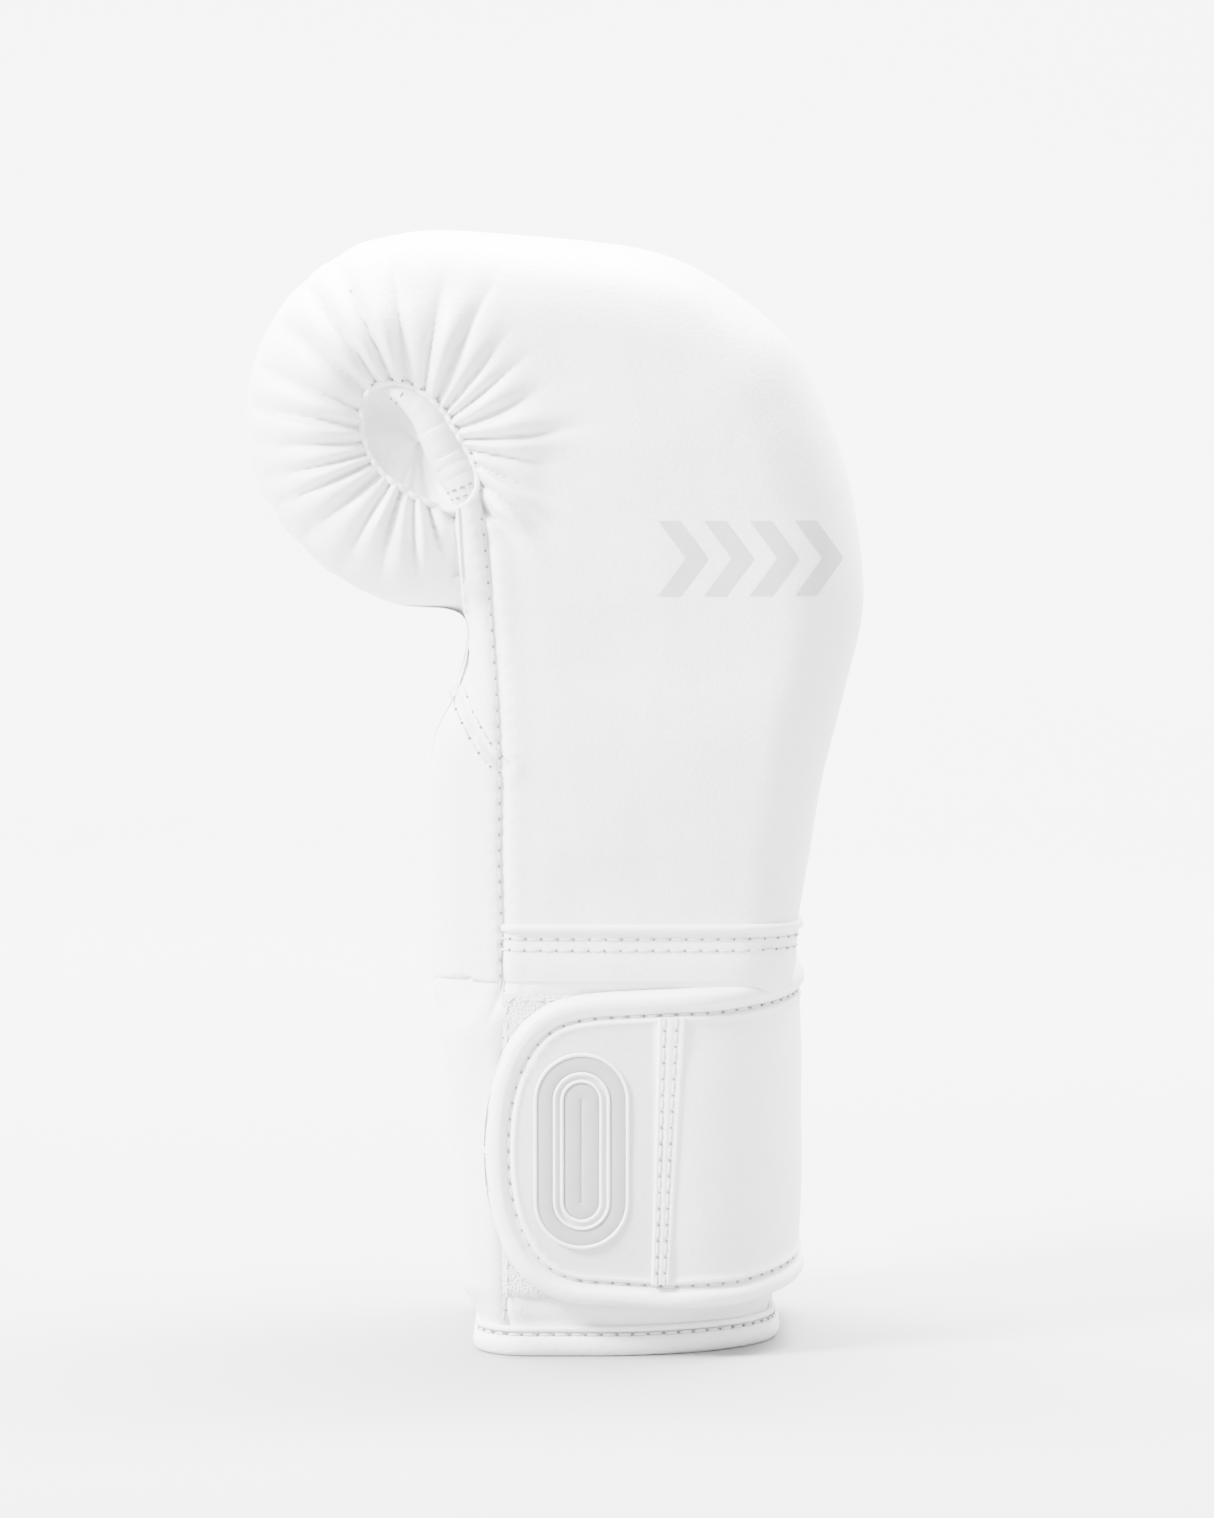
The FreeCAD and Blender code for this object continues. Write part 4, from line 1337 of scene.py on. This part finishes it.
def buildThumb():
    steps = 120
    verts, shade = [], []
    shares = np.concatenate([np.linspace(0, 0.7, 50, endpoint=False),
                             0.7 + 0.3 * np.sin(np.linspace(0, math.pi / 2, 40))])
    for share in shares:
        z = thumb["low"] + share * (thumb["high"] - thumb["low"])
        tip = max(0.0, (share - thumb["tipStart"]) / (1 - thumb["tipStart"]))
        base = max(0.0, (thumb["baseEnd"] - share) / thumb["baseEnd"])
        full = math.sqrt(max(1 - tip * tip, 0.0)) * math.sqrt(1 - 0.6 * base * base)
        cx = thumb["x"] - 10 * share * share
        cy = thumb["y"] - 9 * (1 - share) ** 2
        a = np.linspace(0, 2 * math.pi, steps, endpoint=False)
        seam = np.abs(np.angle(np.exp(1j * (a - math.radians(118)))))
        other = np.abs(np.angle(np.exp(1j * (a - math.radians(250)))))
        groove = 1.3 * bump(seam * 20, 1.3) + 1.0 * bump(other * 20, 1.3)
        puff = 0.5 * bump(seam * 20 - 4.5, 3.0) + 0.35 * wobble(a * 20, z, 9.0, 13)
        scale = full * (1 + (puff - groove) / 22)
        x = cx + thumb["radiusX"] * scale * np.cos(a)
        y = cy + thumb["radiusY"] * scale * np.sin(a)
        floorY = halfWidth(np.full(steps, z)) + 0.6
        y = np.maximum(y, floorY - 2.2)
        verts.append(np.column_stack([x, y, np.full(steps, z)]))
        # Painted shade, with some dirt, in the thumb's seam groove.
        shade.append(0.7 * bump(seam * 20, 0.8))
    faces = gridFaces(len(shares), steps, True)
    faces.append(tuple(range(steps)))
    faces.append(tuple((len(shares) - 1) * steps + c for c in range(steps)))
    piece = addMesh("thumbShell", np.vstack(verts), faces, whiteLeather, np.concatenate(shade), "thumb")
    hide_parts("thumb_outer_shell", "thumb_palm_panel", "thumb_foam_pad", "thumb_liner")


link = {"low": 199.0, "high": 215.0, "thickness": 2.4}


def buildLink():
    # The short tab that ties the thumb's tip to the hand.
    rows, columns = 22, 26
    low, high = link["low"], link["high"]
    verts = []
    for sign in (0, 1):
        for r in range(rows):
            share = r / (rows - 1)
            for c in range(columns):
                z = low + (high - low) * c / (columns - 1)
                edge = min(c, columns - 1 - c) / (columns - 1) * (high - low)
                thick = link["thickness"] * math.sqrt(max(0.0, 1 - (1 - min(edge / 1.6, 1)) ** 2)) / 2
                x = -25.0 + 14.0 * share
                y = 56.2 + 8.0 * share ** 1.6
                verts.append((x - (thick if sign else -thick) * 0.8, y + (thick if sign else -thick), z))
    faces = gridFaces(rows, columns) + gridFaces(rows, columns, False, rows * columns)
    piece = addMesh("thumbLink", verts, faces, whiteLeather, None, "thumb")
    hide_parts("thumb_link")


buildThumb()
buildLink()
print("stage: thumb")


# Stitches, laid along paths by geometry nodes

def stitchTree():
    tree = bpy.data.node_groups.new("stitchRow", "GeometryNodeTree")
    for name, kind in (("Geometry", "NodeSocketGeometry"), ("Spacing", "NodeSocketFloat"),
                       ("Length", "NodeSocketFloat"), ("Width", "NodeSocketFloat"),
                       ("Seed", "NodeSocketInt"), ("Material", "NodeSocketMaterial")):
        tree.interface.new_socket(name, in_out="INPUT", socket_type=kind)
    tree.interface.new_socket("Geometry", in_out="OUTPUT", socket_type="NodeSocketGeometry")
    nodes, links = tree.nodes, tree.links
    source = nodes.new("NodeGroupInput")
    result = nodes.new("NodeGroupOutput")
    curve = nodes.new("GeometryNodeMeshToCurve")
    even = nodes.new("GeometryNodeResampleCurve")
    even.mode = "LENGTH"
    tangent = nodes.new("GeometryNodeInputTangent")
    turn = nodes.new("FunctionNodeAlignRotationToVector")
    turn.axis = "Z"
    bead = nodes.new("GeometryNodeMeshIcoSphere")
    bead.inputs["Subdivisions"].default_value = 2
    bead.inputs["Radius"].default_value = 0.5
    size = nodes.new("ShaderNodeCombineXYZ")
    jitter = nodes.new("FunctionNodeRandomValue")
    jitter.data_type = "FLOAT"
    jitter.inputs[2].default_value = 0.88
    jitter.inputs[3].default_value = 1.1
    place = nodes.new("GeometryNodeInstanceOnPoints")
    scale = nodes.new("GeometryNodeScaleInstances")
    real = nodes.new("GeometryNodeRealizeInstances")
    paint = nodes.new("GeometryNodeSetMaterial")
    links.new(source.outputs["Geometry"], curve.inputs["Mesh"])
    links.new(curve.outputs["Curve"], even.inputs["Curve"])
    links.new(source.outputs["Spacing"], even.inputs["Length"])
    links.new(even.outputs["Curve"], place.inputs["Points"])
    links.new(bead.outputs["Mesh"], place.inputs["Instance"])
    links.new(tangent.outputs["Tangent"], turn.inputs["Vector"])
    links.new(turn.outputs["Rotation"], place.inputs["Rotation"])
    links.new(source.outputs["Width"], size.inputs["X"])
    links.new(source.outputs["Width"], size.inputs["Y"])
    links.new(source.outputs["Length"], size.inputs["Z"])
    links.new(size.outputs["Vector"], place.inputs["Scale"])
    links.new(source.outputs["Seed"], jitter.inputs["Seed"])
    links.new(place.outputs["Instances"], scale.inputs["Instances"])
    links.new(jitter.outputs[1], scale.inputs["Scale"])
    links.new(scale.outputs["Instances"], real.inputs["Geometry"])
    links.new(real.outputs["Geometry"], paint.inputs["Geometry"])
    links.new(source.outputs["Material"], paint.inputs["Material"])
    links.new(paint.outputs["Geometry"], result.inputs["Geometry"])
    return tree


stitchNodes = stitchTree()
stitch = {"spacing": 4.1, "length": 3.1, "width": 0.7, "hole": 0.8}


def runStitches(name, paths, body, spacing, length, width, material, blendTo=None):
    mesh = bpy.data.meshes.new(name + "Path")
    verts, edges = [], []
    for path in paths:
        start = len(verts)
        verts += [tuple(p) for p in toRow(path)]
        edges += [(start + i, start + i + 1) for i in range(len(path) - 1)]
    mesh.from_pydata(verts, edges, [])
    piece = bpy.data.objects.new(name, mesh)
    bpy.context.scene.collection.objects.link(piece)
    modifier = piece.modifiers.new("stitches", "NODES")
    modifier.node_group = stitchNodes
    values = {"Spacing": spacing / 1000, "Length": length / 1000, "Width": width / 1000, "Seed": 3,
              "Material": material}
    for item in stitchNodes.interface.items_tree:
        if item.item_type == "SOCKET" and item.in_out == "INPUT" and item.name in values:
            modifier[item.identifier] = values[item.name]
    graph = bpy.context.evaluated_depsgraph_get()
    made = bpy.data.meshes.new_from_object(piece.evaluated_get(graph))
    piece.modifiers.remove(modifier)
    made.name = name
    piece.data = made
    for polygon in made.polygons:
        polygon.use_smooth = True
    if blendTo:
        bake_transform(piece)
    else:
        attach(piece, body)
    return piece


def sewn(name, paths, body, blendTo=None):
    # Thread lies along the path; the needle's holes are dark dots between its stitches, painted shade
    # standing in for the holes.
    runStitches(name + "Thread", paths, body, stitch["spacing"], stitch["length"], stitch["width"],
                threadCloth,
                blendTo)
    half = stitch["spacing"] / 2
    shifted = []
    for path in paths:
        path = np.asarray(path, float)
        gaps = np.linalg.norm(np.diff(path, axis=0), axis=1)
        along = np.concatenate([[0], np.cumsum(gaps)])
        wanted = np.linspace(half, along[-1] - half, max(len(path), 8))
        shifted.append(np.stack([np.interp(wanted, along, path[:, k]) for k in range(3)], 1))
    runStitches(name + "Holes", shifted, body, stitch["spacing"], stitch["hole"], stitch["hole"],
                holeShadeAndDarkThread,
                blendTo)


def sidePath(points, offset, little=True, count=120, lift=0.1):
    line = resample([(x, z) for x, z in points], count)
    tangent = np.gradient(line, axis=0)
    tangent /= np.linalg.norm(tangent, axis=1)[:, None]
    x = line[:, 0] + tangent[:, 1] * offset
    z = line[:, 1] - tangent[:, 0] * offset
    height, _ = sideSurface(x, z, little)
    sign = -1 if little else 1
    return np.stack([x, sign * (height + lift), z], 1)


def strapInset(uEnd, uFar, corner, inset, lift):
    # Stitch line inside the strap's rim; with a round end it is one long line, else two.
    straight = np.linspace(uEnd + corner, uFar, 100)
    top = np.column_stack([straight, strapTop(straight) - inset])
    foot = np.column_stack([straight, strapFoot(straight) + inset])
    if corner:
        endU, share = tabEnd(uEnd, corner, inset)
        zc = (strapTop(endU) + strapFoot(endU)) / 2
        upper = np.column_stack([endU, zc + (strapTop(endU) - inset - zc) * share])
        lower = np.column_stack([endU, zc - (zc - strapFoot(endU) - inset) * share])
        stretches = [np.vstack([top[::-1], upper[::-1][1:], lower[1:], foot[1:]])]
    else:
        stretches = [top, foot]
    made = []
    for line in stretches:
        x, y, _, _ = onStrap(line[:, 0], np.full(len(line), lift))
        made.append(np.column_stack([x, y, line[:, 1]]))
    return made


def buildStitches():
    sewn("pinkySeam", [sidePath(pinkySeam[1:], 0.7, lift=0.0, count=260)], "glove")
    sewn("dividingSeam", [sidePath(dividingSeam[1:], 2.0, lift=0.05),
                          sidePath(dividingSeam[1:], -2.0, lift=0.05)],
         "glove")
    welt = []
    for z, lift in ((107.9, 0.35), (105.0, 0.5)):
        ring, _ = handLoop(z, lift)
        keep = ring[:, 0] > cuff["seamX"]
        welt.append(np.column_stack([ring, np.full(len(ring), z)])[keep])
    sewn("weltRows", welt, "glove")
    mouth = cuffLoop(6.0, 0.1)
    mouth = np.vstack([mouth, mouth[:1]])
    sewn("mouthRow", [np.column_stack([mouth, np.full(len(mouth), 5.6)])], "glove")
    seam = []
    for z in np.linspace(10, 96, 90):
        ring, _ = cuffRing(float(z))
        near = np.argmin(np.abs(ring[:, 0] - cuff["seamX"]) + 100 * (ring[:, 1] > 0))
        seam.append((ring[near, 0] + 0.4, ring[near, 1] - 0.1, z))
    sewn("cuffSeam", [np.array(seam)], "glove")
    tipBlend = ("strap_back", "strap_tip", rowPoint(hingeX, strap["tipHingeY"] + 8, 55),
                rowPoint(hingeX, strap["tipHingeY"] - 8, 55))
    backBlend = ("glove", "strap_back", rowPoint(strap["backHingeX"] - 7, 52, 55),
                 rowPoint(strap["backHingeX"] + 7, 52, 55))
    lift = strap["panelHeight"] - 0.55
    sewn("strapTipRim", strapInset(strap["endX"], joinU - 1, 30.0, 6.3, lift), None, tipBlend)
    sewn("strapBackRim", strapInset(joinU + 1, anchorU - 6, 0.0, 6.3, lift), None, backBlend)
    rows = []
    for share in (0.28, 0.68):
        z = np.linspace(strapFoot(29) + 8, strapTop(29) - 8, 60)
        left, right = seamBandEdges(z)
        x, y, _, _ = onStrap(left + (right - left) * share, np.full(60, strap["panelHeight"] + 1.15))
        rows.append(np.column_stack([x, y, z]))
    sewn("seamBand", rows, "strap_tip")
    u = np.concatenate([np.full(60, -12.2), np.linspace(-12.2, 43, 50)])
    z = np.concatenate([np.linspace(16.5, 92.2, 60), np.full(50, 92.2)])
    x, y, _, _ = onStrap(u, np.full(len(u), 1.25 - strap["clear"]))
    runStitches("loopPatchThread", [np.column_stack([x, y, z])], "glove", 3.6, 2.6, 0.55, threadCloth)
    # The opening: dark dots of painted shade for needle holes along its gathered edge, and two short double
    # seams of dark thread across the lip.
    ring, angle, height = rimHeights(0.7, 220)
    degrees = np.degrees(angle)
    keep = (degrees > -34) & (degrees < 128)
    edge = np.stack([ring[:, 0], -(height + 0.35), ring[:, 1]], 1)[keep]
    runStitches("openingHoles", [edge], "glove", 2.6, 0.8, 0.8, holeShadeAndDarkThread)
    line, middle = lipSurface()
    crossed = []
    for near in ((-39.4, 247.4), (-22.8, 222.8)):
        i = int(np.argmin(np.hypot(line[:, 0] - near[0], line[:, 1] - near[1])))
        for shift in (-2, 2):
            j = i + shift
            along = line[j + 1, :2] - line[j - 1, :2]
            across = np.array([-along[1], along[0]]) / np.hypot(*along)
            half = line[j, 2]
            row = []
            for t in np.linspace(-1.15, 1.15, 24):
                x, z = line[j, :2] + across * half * math.sin(t)
                row.append((x, -(middle[j] + opening["lipDepth"] * half * math.cos(t) + 0.05), z))
            crossed.append(np.array(row))
    runStitches("lipSeams", crossed, "glove", 1.9, 1.5, 0.5, holeShadeAndDarkThread)


buildStitches()
print("stage: stitches")


# The printed mark: four plain chevrons in grey

mark = {"left": 26.5, "low": 196.0, "height": 19.0, "bar": 5.6, "pitch": 11.6, "count": 4, "lift": 0.12}


def buildMark():
    verts, faces = [], []
    rows, columns = 40, 12
    for index in range(mark["count"]):
        start = len(verts)
        for r in range(rows):
            share = r / (rows - 1)
            bend = 7.0 * (1 - abs(2 * share - 1))
            for c in range(columns):
                x = mark["left"] + index * mark["pitch"] + bend + mark["bar"] * c / (columns - 1)
                verts.append((x, mark["low"] + mark["height"] * share))
        faces += gridFaces(rows, columns, False, start)
    flat = np.array(verts)
    height, _ = sideSurface(flat[:, 0], flat[:, 1], True)
    solid = np.stack([flat[:, 0], -(height + mark["lift"]), flat[:, 1]], 1)
    piece = addMesh("sideMark", solid, faces, greyPrint, None, "glove")
    flipIfInward(piece, (40, 0, 205))


buildMark()

# What stays as the frame made it, out of sight inside the padding
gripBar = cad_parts["grip_bar"]
gripBar.data.materials.clear()
gripBar.data.materials.append(foamGrey)
print("stage: mark and kept nodes")


# Floor, light and camera

studio = {
    "distance": 1.5,
    "elevation": 3.5,
    "aim": (13.5, 0.0, 151.2),
    "viewHeight": 0.4005,
    "floorRadius": 1.6,
    "floorCurve": 0.9,
    "wallTop": 2.4,
    "paper": (0.32, 0.321, 0.323),
    "paperDark": (0.305, 0.306, 0.308),
    "worldStrength": 0.2,
    "keyPower": 560,
    "topPower": 330,
    "backdropPower": 1250,
}


def buildStage():
    # A round pale floor that curves up into a wall, so that every side has the same plain background.
    flat, curve = studio["floorRadius"], studio["floorCurve"]
    profile = [(0.002, 0.0), (0.35, 0.0), (0.8, 0.0), (flat, 0.0)]
    for t in np.radians(np.linspace(-90, 0, 16)[1:]):
        profile.append((flat + curve * math.cos(t), curve + curve * math.sin(t)))
    profile.append((flat + curve, studio["wallTop"]))
    turns = 96
    verts = []
    for r, z in profile:
        for k in range(turns):
            a = 2 * math.pi * k / turns
            verts.append((r * math.cos(a), r * math.sin(a), z))
    faces = gridFaces(len(profile), turns, True)
    mesh = bpy.data.meshes.new("studioSweep")
    mesh.from_pydata(verts, [], faces)
    for polygon in mesh.polygons:
        polygon.use_smooth = True
    mesh.update()
    if mesh.polygons[0].normal.z < 0:
        mesh.flip_normals()
    material, tree, shader, coords = newMaterial("paleStudioPaper")
    tone = noiseNode(tree, coords, 3.0, 2.0)
    tree.links.new(mixColour(tree, tone, studio["paper"], studio["paperDark"]), shader.inputs["Base Color"])
    shader.inputs["Roughness"].default_value = 0.9
    mesh.materials.append(material)
    sweep = bpy.data.objects.new("studioSweep", mesh)
    bpy.context.scene.collection.objects.link(sweep)


def addArea(name, place, aim, size, power):
    light = bpy.data.lights.new(name, "AREA")
    light.shape = "RECTANGLE"
    light.size, light.size_y = size
    light.energy = power
    lamp = bpy.data.objects.new(name, light)
    lamp.location = place
    lamp.rotation_euler = (Vector(aim) - Vector(place)).to_track_quat("-Z", "Y").to_euler()
    bpy.context.scene.collection.objects.link(lamp)


def buildLight():
    world = bpy.data.worlds.new("studioWorld")
    world.use_nodes = True
    background = world.node_tree.nodes["Background"]
    background.inputs["Color"].default_value = (1.0, 1.0, 1.0, 1.0)
    background.inputs["Strength"].default_value = studio["worldStrength"]
    bpy.context.scene.world = world
    addArea("keyLight", (-1.9, -1.0, 1.9), (0, 0, 0.18), (0.7, 0.7), studio["keyPower"])
    addArea("topLight", (0.2, 0.1, 2.3), (0, 0, 0.1), (1.3, 1.3), studio["topPower"])
    addArea("backdropLight", (0.0, 0.9, 2.4), (0, 2.4, 0.6), (3.0, 1.2), studio["backdropPower"])


def buildCamera():
    camera = bpy.data.cameras.new("viewCamera")
    camera.sensor_fit = "VERTICAL"
    camera.angle = 2 * math.atan(studio["viewHeight"] / 2 / studio["distance"])
    camera.clip_end = 30
    holder = bpy.data.objects.new("viewCamera", camera)
    up = math.radians(studio["elevation"])
    aim = Vector(rowPoint(*studio["aim"]))
    holder.location = aim + studio["distance"] * Vector((0, -math.cos(up), math.sin(up)))
    holder.rotation_euler = (math.pi / 2 - up, 0, 0)
    bpy.context.scene.collection.objects.link(holder)
    bpy.context.scene.camera = holder


buildStage()
buildLight()
buildCamera()
print("stage: studio")
